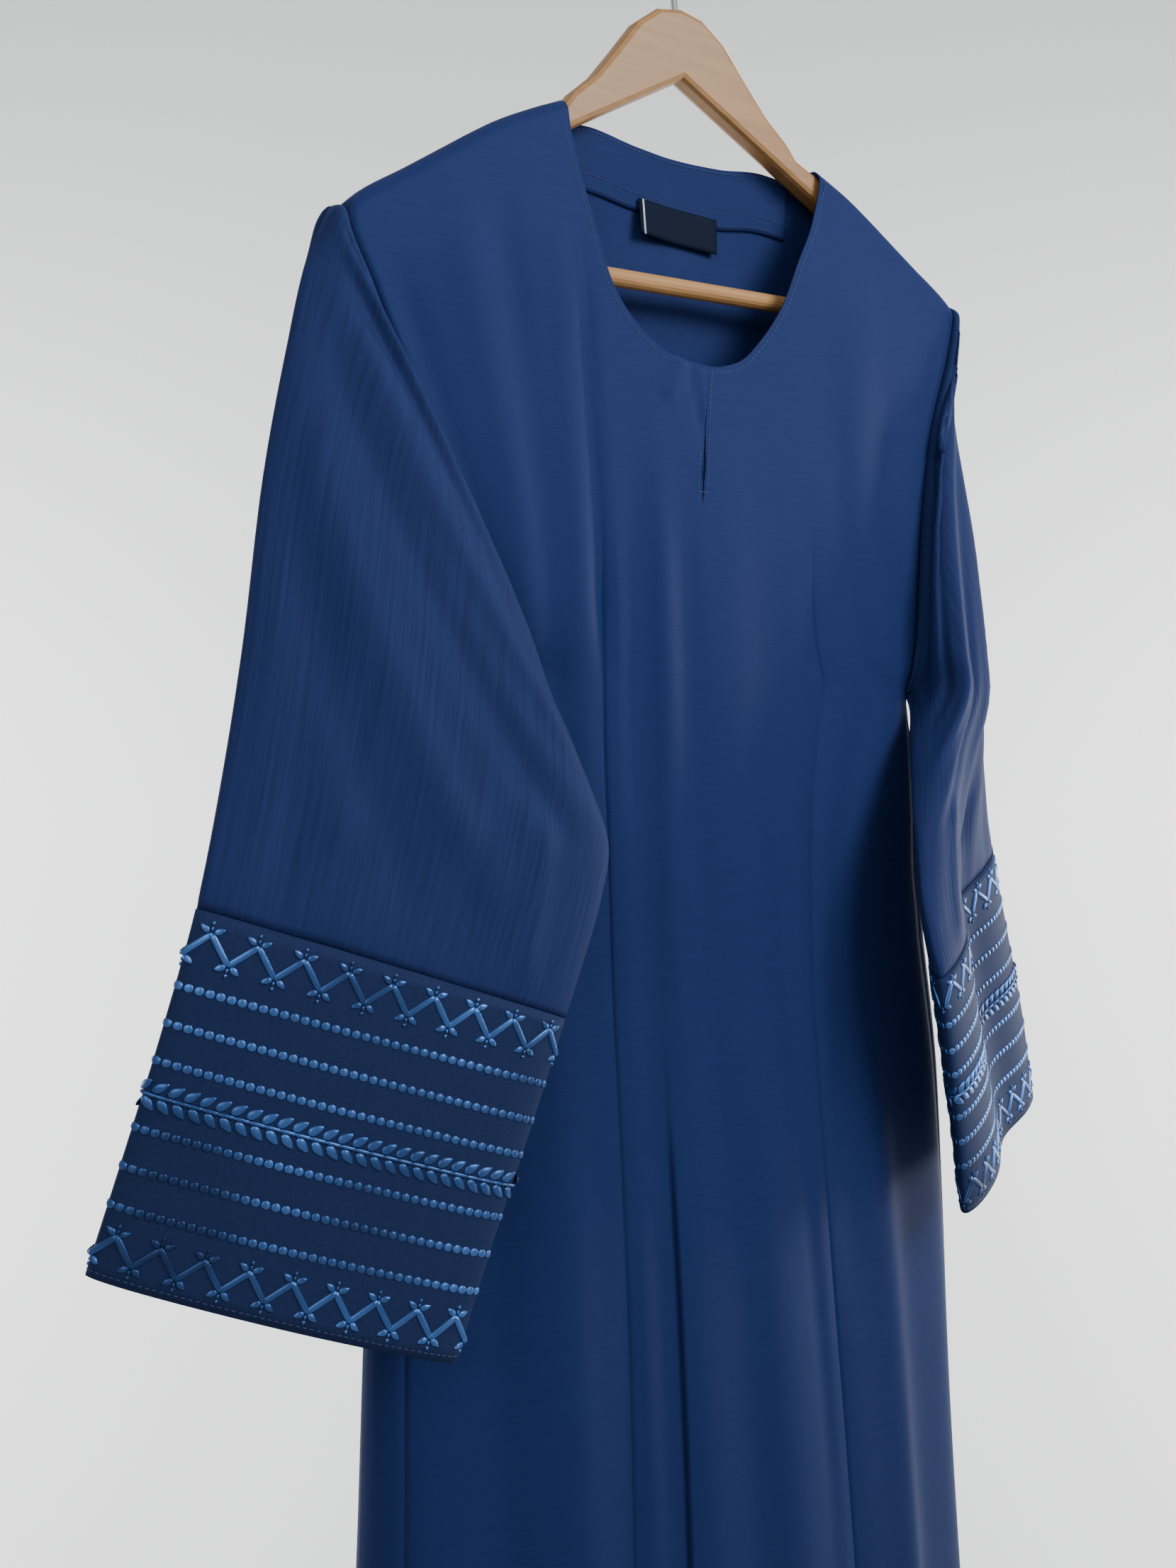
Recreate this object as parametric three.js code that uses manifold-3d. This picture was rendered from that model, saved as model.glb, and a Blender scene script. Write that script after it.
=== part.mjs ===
// Abaya hanging on a wooden hanger. Millimetres, +Z up, the front faces -Y, +X is on the viewer's right.
// The origin is the point where the hanger's hook rests on its rail.
// Every cloth piece is an open sheet of points given a wall towards the inside of the garment.
import * as THREE from 'three';
import { mergeVertices } from 'three/addons/utils/BufferGeometryUtils.js';
import Module from 'manifold-3d';

// Driving dimensions
const CLOTH = 1.5;
const FACING_CLOTH = 1.0;
const SEAM_GAP = 0.3;
const HEM_Z = -1530;
const UNDERARM_Z = -432;
const YOKE_Z = -300;
const SHOULDER_LEFT = 213;
const SHOULDER_RIGHT = 204;
const NECK_LEFT_X = -89;
const NECK_RIGHT_X = 90;
const STRAP_X = 100;
const GARMENT_X = 14.6;
const ROLL_DEPTH = 10;
const ROLL_DROP = 9;
const SETTLE_DROP = 70;
const DART_TOP_Z = -322;
const SLIT_BOTTOM_Z = -335;

// Hanger: a wooden arch with a round bar and a wire hook, tilted a little in its own plane
const HANGER_TILT = THREE.MathUtils.degToRad(3.4);
const NOTCH_DROP = 106;
const WOOD_THICKNESS = 12;
const WOOD_BEVEL = 3;
const WOOD_BELOW_CLOTH = 3.4;
const ARM_SLOPE = 0.525;
const HANGER_HALF = 209;
const LEG_INNER_X = 168;
const LEG_BOTTOM_Z = -122;
const BAR_Z = -112;
const BAR_RADIUS = 4.8;
const BAR_HALF = 182;
const WIRE_RADIUS = 1.8;
const HOLE_CLEARANCE = 0.35;
const SHANK_DEPTH = 20;
const HOOK_RADIUS = 19;
const HOOK_CENTRE_Z = -HOOK_RADIUS + WIRE_RADIUS;

// Height of the cloth over the hanger's arm, by distance from the hanger's middle, measured from the notch
const SHOULDER_TOP = [
  { x: 0, z: 8 },
  { x: 60, z: -15 },
  { x: 82, z: -26.3 },
  { x: 97, z: -32.5 },
  { x: 120, z: -43 },
  { x: 135, z: -51.5 },
  { x: 153, z: -62.5 },
  { x: 175, z: -76 },
  { x: 200, z: -91 },
  { x: 211, z: -100 },
  { x: 222, z: -110 },
];

// Top edge of the wood near the hook, from the notch
const CROWN_TOP = [
  { x: 0, z: 37.7 },
  { x: 15, z: 35 },
  { x: 30, z: 24.7 },
  { x: 45, z: 7.3 },
  { x: 60, z: -9.3 },
  { x: 75, z: -21.4 },
];

// Body section by height: half width, front and back depth, distance of the panel's left and right edges and
// of the dart line from the middle, and size of the folds
const BODY = [
  { z: HEM_Z, width: 255, front: 92, back: 100, left: 240, right: 240, dart: 118, fold: 1 },
  { z: -1200, width: 224, front: 70, back: 82, left: 211, right: 211, dart: 95, fold: 0.8 },
  { z: -980, width: 205, front: 56, back: 66, left: 193, right: 193, dart: 79, fold: 0.6 },
  { z: -850, width: 199, front: 47, back: 57, left: 187, right: 187, dart: 74, fold: 0.45 },
  { z: -745, width: 197, front: 38, back: 50, left: 185, right: 185, dart: 71, fold: 0.32 },
  { z: -650, width: 193, front: 29, back: 42, left: 181, right: 181, dart: 70, fold: 0.2 },
  { z: -575, width: 184, front: 23, back: 36, left: 173, right: 173, dart: 70, fold: 0.1 },
  { z: -515, width: 165, front: 21, back: 31, left: 155, right: 155, dart: 70, fold: 0.05 },
  { z: -470, width: 142, front: 20, back: 28, left: 133, right: 133, dart: 71, fold: 0 },
  { z: UNDERARM_Z, width: 124, front: 20, back: 26, left: 116.5, right: 116.5, dart: 71, fold: 0 },
  { z: -417, width: 150, front: 20, back: 25, left: 124, right: 124, dart: 71, fold: 0 },
  { z: -402, width: 172, front: 19, back: 24, left: 134, right: 134, dart: 71, fold: 0 },
  { z: -360, width: 215, front: 19, back: 22, left: 152, right: 151, dart: 72, fold: 0 },
  { z: -324, width: 240, front: 18, back: 21, left: 168, right: 165, dart: 74, fold: 0 },
  { z: -254, width: 262, front: 16, back: 18, left: 200, right: 190, dart: 87, fold: 0 },
  { z: -222, width: 270, front: 16, back: 17, left: SHOULDER_LEFT, right: 200, dart: 93, fold: 0 },
  { z: -196, width: 270, front: 16, back: 17, left: SHOULDER_LEFT, right: SHOULDER_RIGHT, dart: 97, fold: 0 },
  { z: -160, width: 270, front: 16, back: 16, left: SHOULDER_LEFT, right: SHOULDER_RIGHT, dart: STRAP_X, fold: 0 },
  { z: -90, width: 270, front: 16, back: 16, left: SHOULDER_LEFT, right: SHOULDER_RIGHT, dart: STRAP_X, fold: 0 },
];

// Front neckline, left to right; each row is also a column of the front panel
const FRONT_NECK = [
  { x: NECK_LEFT_X, z: null },
  { x: -88.8, z: -140 },
  { x: -88.3, z: -146 },
  { x: -85, z: -167 },
  { x: -80, z: -195 },
  { x: -71, z: -229 },
  { x: -55, z: -249 },
  { x: -30, z: -261 },
  { x: 0, z: -263 },
  { x: 25, z: -257 },
  { x: 43, z: -242 },
  { x: 59, z: -219 },
  { x: 68, z: -195 },
  { x: 81, z: -168 },
  { x: 89.2, z: -141 },
  { x: 89.7, z: -134.7 },
  { x: NECK_RIGHT_X, z: null },
];

const BACK_NECK = [
  { x: NECK_LEFT_X, z: null },
  { x: -88.8, z: -140 },
  { x: -88.4, z: -145.5 },
  { x: -80, z: -142.5 },
  { x: -60, z: -140 },
  { x: -30, z: -142 },
  { x: 0, z: -142.5 },
  { x: 30, z: -141 },
  { x: 60, z: -137 },
  { x: 80, z: -138 },
  { x: 89.3, z: -141 },
  { x: 89.7, z: -134.7 },
  { x: NECK_RIGHT_X, z: null },
];

// Columns of the front and back panels over the shoulder, as parts of the way from the strap to the armhole
const SHOULDER_PARTS = [0, 0.18, 0.4, 0.64, 0.84, 1];

// Rows below the top edge: small drops round the shoulder, then parts of the way to the yoke line
const ROLL_ROWS = [0, 1, 3, 6, 10];
const YOKE_PARTS = [0.14, 0.35, 0.67, 1];
const PANEL_ROWS = [DART_TOP_Z, SLIT_BOTTOM_Z, -365, -402, -417, UNDERARM_Z, -470, -515, -575, -650, -745, -850,
  -980, -1120, -1280, -1410, HEM_Z];

// Soft vertical folds of the skirt: place round the body in degrees from the front, half width, height
const SKIRT_FOLDS = [
  { angle: -150, spread: 11, height: 13 },
  { angle: -127, spread: 9, height: 12 },
  { angle: -102, spread: 9, height: 10 },
  { angle: -62, spread: 9, height: 10 },
  { angle: -34, spread: 7, height: 9 },
  { angle: -9, spread: 7, height: 8 },
  { angle: 11, spread: 6, height: 8 },
  { angle: 33, spread: 7, height: 9 },
  { angle: 61, spread: 9, height: 10 },
  { angle: 103, spread: 9, height: 10 },
  { angle: 128, spread: 9, height: 12 },
  { angle: 152, spread: 11, height: 13 },
  { angle: 180, spread: 9, height: 10 },
  { angle: -180, spread: 9, height: 10 },
];

// Half width of the slit below the neckline and how far it leans to the left
const SLIT = [
  { z: -400, lean: 0, half: 0.2 },
  { z: SLIT_BOTTOM_Z, lean: -6.5, half: 0.2 },
  { z: DART_TOP_Z, lean: -5.5, half: 1.4 },
  { z: YOKE_Z, lean: -4, half: 0.9 },
  { z: -263, lean: -0.5, half: 0.2 },
];

// Sleeves: the outer fold ox oy oz and the inner fold ix iy iz of the flat tube, its front and back depth, a
// valley down its front face with its place between the folds, and whether the row belongs to the cuff
const LEFT_SLEEVE = [
  { ox: -230, oy: -2, oz: -246, ix: -112, iy: -24, iz: -456, front: 18, back: 19, valley: 0, at: 0.4, cuff: false },
  { ox: -242, oy: -5, oz: -290, ix: -105, iy: -43, iz: -486, front: 17, back: 16, valley: 0, at: 0.4, cuff: false },
  { ox: -255, oy: -8, oz: -350, ix: -100, iy: -57, iz: -517, front: 16, back: 13, valley: 0, at: 0.4, cuff: false },
  { ox: -268, oy: -14, oz: -430, ix: -107, iy: -60, iz: -545, front: 15, back: 12, valley: 0, at: 0.4, cuff: false },
  { ox: -282, oy: -20, oz: -497, ix: -118, iy: -61, iz: -573, front: 14, back: 11, valley: 0, at: 0.4, cuff: false },
  { ox: -294, oy: -26, oz: -541, ix: -128, iy: -61, iz: -598, front: 13, back: 11, valley: 0, at: 0.4, cuff: true },
  { ox: -307, oy: -21, oz: -592, ix: -147, iy: -60, iz: -647, front: 12, back: 11, valley: 0, at: 0.4, cuff: true },
  { ox: -320, oy: -12, oz: -643, ix: -167, iy: -59, iz: -696, front: 12, back: 12, valley: 0, at: 0.4, cuff: true },
  { ox: -333, oy: -2, oz: -694, ix: -186, iy: -58, iz: -746, front: 13, back: 12, valley: 0, at: 0.4, cuff: true },
];

const RIGHT_SLEEVE = [
  { ox: 214, oy: 1, oz: -236, ix: 112, iy: -25, iz: -457, front: 18, back: 19, valley: 0, at: 0.7, cuff: false },
  { ox: 220, oy: 1, oz: -285, ix: 107, iy: -44, iz: -488, front: 17, back: 16, valley: 4, at: 0.7, cuff: false },
  { ox: 225, oy: 1, oz: -350, ix: 104, iy: -60, iz: -519, front: 15, back: 13, valley: 6, at: 0.65, cuff: false },
  { ox: 232, oy: 0, oz: -425, ix: 106, iy: -69, iz: -551, front: 12, back: 13, valley: 8, at: 0.55, cuff: false },
  { ox: 240, oy: 0, oz: -480, ix: 109, iy: -75, iz: -574, front: 10, back: 14, valley: 13, at: 0.45, cuff: false },
  { ox: 247, oy: 0, oz: -526, ix: 112, iy: -79, iz: -595, front: 10, back: 15, valley: 17, at: 0.4, cuff: true },
  { ox: 262, oy: 0, oz: -582, ix: 122, iy: -76, iz: -641, front: 10, back: 15, valley: 17, at: 0.4, cuff: true },
  { ox: 277, oy: 0, oz: -638, ix: 133, iy: -72, iz: -687, front: 10, back: 14, valley: 15, at: 0.4, cuff: true },
  { ox: 287, oy: 0, oz: -690, ix: 144, iy: -67, iz: -731, front: 10, back: 12, valley: 12, at: 0.4, cuff: true },
];
const VALLEY_SPREAD = 0.22;

const UNDERARM_GAP = 2.2;
const ARMHOLE_GAP = 0.4;
const CUFF_GAP = 0.5;
const COLLAR_OUT = 6;
const COLLAR_ALONG = 3;

// Small pieces at the neck, as parts of the panel's columns from its middle and of its rows from the top
const FACING_COLUMNS = [-3, -2.5, -2, -1.5, -1, -0.5, 0, 0.5, 1, 1.5, 2, 2.5, 3];
const FACING_ROWS = [0.3, 1, 2, 3, 4, 5];
const LABEL_COLUMNS = [-1.1, -0.6, -0.1, 0.4, 0.83];
const LABEL_ROWS = [4.87, 5, 5.25, 5.5];
const UNDERLAP_COLUMNS = [-0.5, -0.25, 0, 0.2, 0.4];
const UNDERLAP_ROWS = [0.5, 2, 4, 5, 6, 7, 8, 9, 10.3];

const NAVY = new THREE.MeshStandardMaterial({ color: 0x243c6c, roughness: 0.75 });
const SLEEVE_NAVY = new THREE.MeshStandardMaterial({ color: 0x1b2e55, roughness: 0.8 });
const CUFF_NAVY = new THREE.MeshStandardMaterial({ color: 0x1a2e52, roughness: 0.65 });
const INSIDE_NAVY = new THREE.MeshStandardMaterial({ color: 0x223861, roughness: 0.8 });
const LABEL_NAVY = new THREE.MeshStandardMaterial({ color: 0x16253f, roughness: 0.5 });
const WOOD = new THREE.MeshStandardMaterial({ color: 0x9a7a56, roughness: 0.5 });
const STEEL = new THREE.MeshStandardMaterial({ color: 0xb8bcc0, roughness: 0.25, metalness: 1 });

// Smooth reading of a table: a cubic through the rows that never overshoots them
function read(rows, key, at, name) {
  const sorted = rows[0][key] <= rows[rows.length - 1][key] ? rows : [...rows].reverse();
  const last = sorted.length - 1;
  if (at <= sorted[0][key]) return sorted[0][name];
  if (at >= sorted[last][key]) return sorted[last][name];
  const gap = (i) => sorted[i + 1][key] - sorted[i][key];
  const rise = (i) => (sorted[i + 1][name] - sorted[i][name]) / gap(i);
  const slope = (i) => {
    if (i === 0) return rise(0);
    if (i === last) return rise(last - 1);
    const before = rise(i - 1);
    const after = rise(i);
    return before * after <= 0 ? 0 : (2 * before * after) / (before + after);
  };
  let i = 0;
  while (at > sorted[i + 1][key]) i += 1;
  const h = gap(i);
  const t = (at - sorted[i][key]) / h;
  const start = sorted[i][name] * (1 + 2 * t) + slope(i) * h * t;
  const end = sorted[i + 1][name] * (3 - 2 * t) - slope(i + 1) * h * (1 - t);
  return start * (1 - t) ** 2 + end * t ** 2;
}

const body = (z, name) => read(BODY, 'z', z, name);
const ease = (t) => THREE.MathUtils.smoothstep(t, 0, 1);

// Height of the cloth along the shoulder, carried on across the neck; the arms tilt with the hanger
function shoulderZ(x) {
  const across = x + GARMENT_X;
  const sin = Math.sin(HANGER_TILT);
  const cos = Math.cos(HANGER_TILT);
  let z = -150;
  for (let pass = 0; pass < 4; pass += 1) {
    const along = Math.abs(across * cos + z * sin);
    z = (read(SHOULDER_TOP, 'x', along, 'z') - NOTCH_DROP + across * sin) / cos;
  }
  return z;
}

// Outward push of the skirt folds at an angle round the body
function foldPush(angle, z) {
  let push = 0;
  for (const fold of SKIRT_FOLDS) push += fold.height * Math.exp(-(((angle - fold.angle) / fold.spread) ** 2));
  return push * body(z, 'fold');
}

// A point of the body's surface at an angle round it, 0 at the front and 180 at the back
function bodyPoint(angle, z) {
  const radians = THREE.MathUtils.degToRad(angle);
  const width = body(z, 'width');
  const atFront = Math.abs(angle) < 90;
  const depth = atFront ? body(z, 'front') : body(z, 'back');
  const push = 1 + foldPush(angle, z) / Math.hypot(width * Math.sin(radians), depth * Math.cos(radians));
  const x = width * Math.sin(radians) * push;
  const full = depth * Math.abs(Math.cos(radians)) * push;
  const drop = Math.max(0, shoulderZ(x) - z);
  const rolled = ROLL_DEPTH * Math.sqrt(Math.max(0, 1 - (1 - Math.min(drop / ROLL_DROP, 1)) ** 2));
  const settled = z < YOKE_Z ? 1 : ease((drop - ROLL_DROP) / SETTLE_DROP);
  const y = rolled * (1 - settled) + full * settled;
  return new THREE.Vector3(x, atFront ? -y : y, z);
}

// Angle on the front or the back half where the surface passes a distance x
const frontAngle = (x, z) => THREE.MathUtils.radToDeg(Math.asin(THREE.MathUtils.clamp(x / body(z, 'width'), -1, 1)));
const frontPoint = (x, z) => bodyPoint(frontAngle(x, z), z);
const backPoint = (x, z) => bodyPoint(Math.sign(x || 1) * 180 - frontAngle(x, z), z);

// Heights of one column's rows from its top edge to the hem
function columnHeights(topZ) {
  const rolled = ROLL_ROWS.map((drop) => topZ - drop);
  const start = topZ - ROLL_ROWS[ROLL_ROWS.length - 1];
  const yoke = YOKE_PARTS.map((part) => start + (YOKE_Z - start) * part);
  return [...rolled, ...yoke, ...PANEL_ROWS];
}

const edgeAt = (side, z) => body(z, side < 0 ? 'left' : 'right');

function shoulderColumns(side) {
  const tip = side < 0 ? SHOULDER_LEFT : SHOULDER_RIGHT;
  return SHOULDER_PARTS.map((part) => {
    const x = side * THREE.MathUtils.lerp(STRAP_X, tip, part);
    return { x, topZ: shoulderZ(x) };
  });
}

// The front panel's points: columns keep their share of the width inside and outside the dart line
function frontGrid() {
  const neck = FRONT_NECK.map((row) => ({ x: row.x, topZ: row.z ?? shoulderZ(row.x) }));
  return [...shoulderColumns(-1).reverse(), ...neck, ...shoulderColumns(1)].map((column) => {
    const side = Math.sign(column.x);
    const reach = Math.abs(column.x);
    const dartTop = body(column.topZ, 'dart');
    const edgeTop = edgeAt(side, column.topZ);
    const inside = reach < STRAP_X - 0.1;
    const share = inside ? reach / dartTop : (reach - dartTop) / (edgeTop - dartTop);
    return columnHeights(column.topZ).map((z) => {
      const dart = body(z, 'dart');
      const across = inside ? share * dart : dart + share * (edgeAt(side, z) - dart);
      const lean = column.x === 0 && z > -400 ? read(SLIT, 'z', z, 'lean') : 0;
      return frontPoint(side * across + lean, z);
    });
  });
}

// The back panel's points: shares of the way round from the middle of the back to the side seam
function backGrid() {
  const neck = BACK_NECK.map((row) => ({ x: row.x, topZ: row.z ?? shoulderZ(row.x) }));
  return [...shoulderColumns(-1).reverse(), ...neck, ...shoulderColumns(1)].map((column) => {
    const side = Math.sign(column.x || 1);
    const share = Math.abs(column.x) / edgeAt(side, column.topZ);
    return columnHeights(column.topZ).map((z) => {
      if (z > UNDERARM_Z) return backPoint(side * share * edgeAt(side, z), z);
      const seam = frontAngle(edgeAt(side, z), z);
      return bodyPoint(side * roundAngle(share, seam, z), z);
    });
  });
}

// Angle at a share of the arc from the middle of the back round the side to the seam
function roundAngle(share, seam, z) {
  const steps = 40;
  const angles = Array.from({ length: steps + 1 }, (unused, i) => 180 - ((180 - seam) * i) / steps);
  const lengths = [0];
  for (let i = 1; i <= steps; i += 1) {
    const here = bodyPoint(angles[i], z);
    lengths.push(lengths[i - 1] + here.distanceTo(bodyPoint(angles[i - 1], z)));
  }
  const wanted = share * lengths[steps];
  let i = 1;
  while (i < steps && lengths[i] < wanted) i += 1;
  const part = (wanted - lengths[i - 1]) / (lengths[i] - lengths[i - 1]);
  return angles[i - 1] + (angles[i] - angles[i - 1]) * part;
}

const place = (point) => [point.x, point.y, point.z].map((value) => value.toFixed(2)).join(' ');

// A sheet: vertices with four-cornered faces. A cut makes a column double between two of its rows, and a
// mirrored sheet has its faces' diagonals the other way.
function sheetFromGrid(grid, { cuts = [], closed = false, mirrored = false } = {}) {
  const points = [];
  const keys = [];
  const leftOf = grid.map((column) => column.map(() => 0));
  const rightOf = grid.map((column) => column.map(() => 0));
  grid.forEach((column, c) => {
    const cut = cuts.find((one) => one.column === c);
    column.forEach((point, r) => {
      leftOf[c][r] = points.push(point.clone()) - 1;
      keys.push(place(point));
      rightOf[c][r] = leftOf[c][r];
      if (cut && r >= cut.from && r <= cut.to) {
        const half = cut.half(point.z);
        points[leftOf[c][r]].x -= half;
        rightOf[c][r] = points.push(point.clone()) - 1;
        points[rightOf[c][r]].x += half;
        keys.push(place(point));
      }
    });
  });
  const faces = [];
  const columns = closed ? grid.length : grid.length - 1;
  for (let c = 0; c < columns; c += 1) {
    const next = (c + 1) % grid.length;
    for (let r = 0; r < grid[c].length - 1; r += 1) {
      const face = [rightOf[c][r], rightOf[c][r + 1], leftOf[next][r + 1], leftOf[next][r]];
      faces.push(mirrored ? [...face.slice(1), face[0]] : face);
    }
  }
  return { points, keys, faces, first: leftOf[0], last: rightOf[grid.length - 1], leftOf, rightOf };
}

// Normals shared by all sheets that meet at a point, so that their walls lie side by side at a seam
function sharedNormals(sheets) {
  const sums = new Map();
  for (const sheet of sheets) {
    for (const face of sheet.faces) {
      const [a, b, c, d] = face.map((index) => sheet.points[index]);
      const normal = new THREE.Vector3().subVectors(c, a).cross(new THREE.Vector3().subVectors(d, b));
      for (const key of face.map((index) => sheet.keys[index])) {
        if (!sums.has(key)) sums.set(key, new THREE.Vector3());
        sums.get(key).add(normal);
      }
    }
  }
  for (const sheet of sheets) sheet.normals = sheet.keys.map((key) => sums.get(key).clone().normalize());
}

// Closes a sheet into a solid: its outer face, an inner face a wall's thickness in, and a rim
function solidFromSheet(sheet, thickness) {
  const { points, normals, faces } = sheet;
  const count = points.length;
  const inner = points.map((point, i) => point.clone().addScaledVector(normals[i], -thickness));
  const positions = [...points, ...inner].flatMap((point) => [point.x, point.y, point.z]);
  const triangles = [];
  const quad = (a, b, c, d) => triangles.push(a, b, c, a, c, d);
  const edges = new Set();
  for (const face of faces) face.forEach((from, i) => edges.add(`${from} ${face[(i + 1) % 4]}`));
  for (const [a, b, c, d] of faces) {
    quad(a, b, c, d);
    triangles.push(a + count, c + count, b + count, a + count, d + count, c + count);
  }
  for (const edge of edges) {
    const [from, to] = edge.split(' ').map(Number);
    if (!edges.has(`${to} ${from}`)) quad(to, from, from + count, to + count);
  }
  const geometry = new THREE.BufferGeometry();
  geometry.setAttribute('position', new THREE.Float32BufferAttribute(positions, 3));
  geometry.setIndex(triangles);
  geometry.computeVertexNormals();
  return geometry;
}

// Moves a seam's points half the gap towards the inside of their own sheet
function drawBack(sheet, edge, neighbours, gap = SEAM_GAP) {
  edge.forEach((index, i) => {
    const away = new THREE.Vector3().subVectors(sheet.points[neighbours[i]], sheet.points[index]).normalize();
    sheet.points[index].addScaledVector(away, gap / 2);
  });
}

function mesh(name, geometry, material) {
  const piece = new THREE.Mesh(geometry, material);
  piece.name = name;
  return piece;
}

// Front and back panels
const frontColumns = frontGrid();
const backColumns = backGrid();
const rowCount = frontColumns[0].length;
const dartRow = ROLL_ROWS.length + YOKE_PARTS.length;
const slitRow = dartRow + 1;
const leftDart = SHOULDER_PARTS.length - 1;
const rightDart = leftDart + FRONT_NECK.length + 1;
const slitColumn = leftDart + 1 + FRONT_NECK.findIndex((row) => row.x === 0);
const slitHalf = (z) => read(SLIT, 'z', z, 'half');
const dartHalf = () => SEAM_GAP / 2;
const front = sheetFromGrid(frontColumns, {
  cuts: [
    { column: leftDart, from: dartRow + 1, to: rowCount - 1, half: dartHalf },
    { column: rightDart, from: dartRow + 1, to: rowCount - 1, half: dartHalf },
    { column: slitColumn, from: 0, to: slitRow - 1, half: slitHalf },
  ],
});
const back = sheetFromGrid([...backColumns].reverse());
sharedNormals([front, back]);

// The armhole edge of one side, from the shoulder down the front to the underarm and up the back
const armholeRows = columnHeights(-200).findIndex((z) => z === UNDERARM_Z);
function armholeRing(side) {
  const frontEdge = side < 0 ? front.first : front.last;
  const backEdge = side < 0 ? back.last : back.first;
  const frontNext = side < 0 ? front.leftOf[1] : front.rightOf[front.rightOf.length - 2];
  const backNext = side < 0 ? back.rightOf[back.rightOf.length - 2] : back.leftOf[1];
  const ring = [];
  const add = (sheet, edge, next, r, out) => {
    const point = sheet.points[edge[r]].clone();
    const away = point.clone().sub(sheet.points[next[r]]).normalize();
    ring.push({ point, normal: sheet.normals[edge[r]].clone(), away: out ?? away });
  };
  const underarm = new THREE.Vector3(side, 0, 1).normalize();
  for (let r = 0; r < armholeRows; r += 1) add(front, frontEdge, frontNext, r);
  add(front, frontEdge, frontNext, armholeRows, underarm);
  for (let r = armholeRows - 1; r > 0; r -= 1) add(back, backEdge, backNext, r);
  const top = ring[0].point.z;
  const bottom = ring[armholeRows].point.z;
  for (const spot of ring) spot.share = (top - spot.point.z) / (top - bottom);
  ring.forEach((spot, i) => {
    const turn = Math.acos(1 - 2 * THREE.MathUtils.clamp(spot.share, 0, 1));
    spot.turn = i <= armholeRows ? turn : 2 * Math.PI - turn;
  });
  return ring;
}

// Rings of the sleeve and cuff: the armhole, a short roll round its edge, then the table's flat tubes
function sleeveRings(side, table) {
  const armhole = armholeRing(side);
  const rings = [];
  rings.push(armhole.map((spot, i) => {
    const gap = Math.abs(i - armholeRows) < 2 ? UNDERARM_GAP : ARMHOLE_GAP;
    return spot.point.clone().addScaledVector(spot.away, gap);
  }));
  rings.push(armhole.map((spot) => {
    const out = new THREE.Vector3(spot.normal.x, spot.normal.y, 0);
    return spot.point.clone().addScaledVector(out, COLLAR_OUT).addScaledVector(spot.away, COLLAR_ALONG);
  }));
  table.forEach((row, k) => {
    const outer = new THREE.Vector3(row.ox, row.oy, row.oz);
    const inner = new THREE.Vector3(row.ix, row.iy, row.iz);
    const across = new THREE.Vector3().subVectors(inner, outer);
    const before = table[Math.max(k - 1, 0)];
    const after = table[Math.min(k + 1, table.length - 1)];
    const along = new THREE.Vector3(after.ox + after.ix - before.ox - before.ix,
      after.oy + after.iy - before.oy - before.iy, after.oz + after.iz - before.oz - before.iz);
    const forward = new THREE.Vector3().crossVectors(across, along).normalize();
    if (forward.y > 0) forward.negate();
    rings.push(armhole.map((spot) => {
      const share = (1 - Math.cos(spot.turn)) / 2;
      const onFront = spot.turn < Math.PI;
      const dip = onFront ? row.valley * Math.exp(-(((share - row.at) / VALLEY_SPREAD) ** 2)) : 0;
      const lift = Math.sin(spot.turn) * ((onFront ? row.front : row.back) - dip);
      return outer.clone().addScaledVector(across, share).addScaledVector(forward, lift);
    }));
  });
  return { rings, armhole };
}

// One tube of cloth from some of the rings; its normals come from the whole sleeve
function tubeSheets(side, table) {
  const { rings, armhole } = sleeveRings(side, table);
  const seam = 2 + table.findIndex((row) => row.cuff);
  const count = armhole.length;
  const whole = sheetFromGrid(armhole.map((spot, i) => rings.map((ring) => ring[side < 0 ? i : (count - i) % count])),
    { closed: true, mirrored: side > 0 });
  sharedNormals([whole]);
  armhole.forEach((unused, i) => {
    const spot = armhole[side < 0 ? i : (count - i) % count];
    whole.normals[whole.leftOf[i][0]].copy(spot.normal);
  });
  const part = (from, to) => {
    const grid = whole.leftOf.map((column) => column.slice(from, to + 1).map((index) => whole.points[index]));
    const sheet = sheetFromGrid(grid, { closed: true, mirrored: side > 0 });
    sheet.normals = sheet.points.map(() => null);
    sheet.leftOf.forEach((column, c) => column.forEach((index, r) => {
      sheet.normals[index] = whole.normals[whole.leftOf[c][from + r]].clone();
    }));
    return sheet;
  };
  const sleeve = part(0, seam);
  const cuff = part(seam, rings.length - 1);
  drawBack(sleeve, sleeve.leftOf.map((column) => column[seam]), sleeve.leftOf.map((column) => column[seam - 1]),
    CUFF_GAP);
  drawBack(cuff, cuff.leftOf.map((column) => column[0]), cuff.leftOf.map((column) => column[1]), CUFF_GAP);
  return { sleeve, cuff };
}

const leftTubes = tubeSheets(-1, LEFT_SLEEVE);
const rightTubes = tubeSheets(1, RIGHT_SLEEVE);

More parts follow.
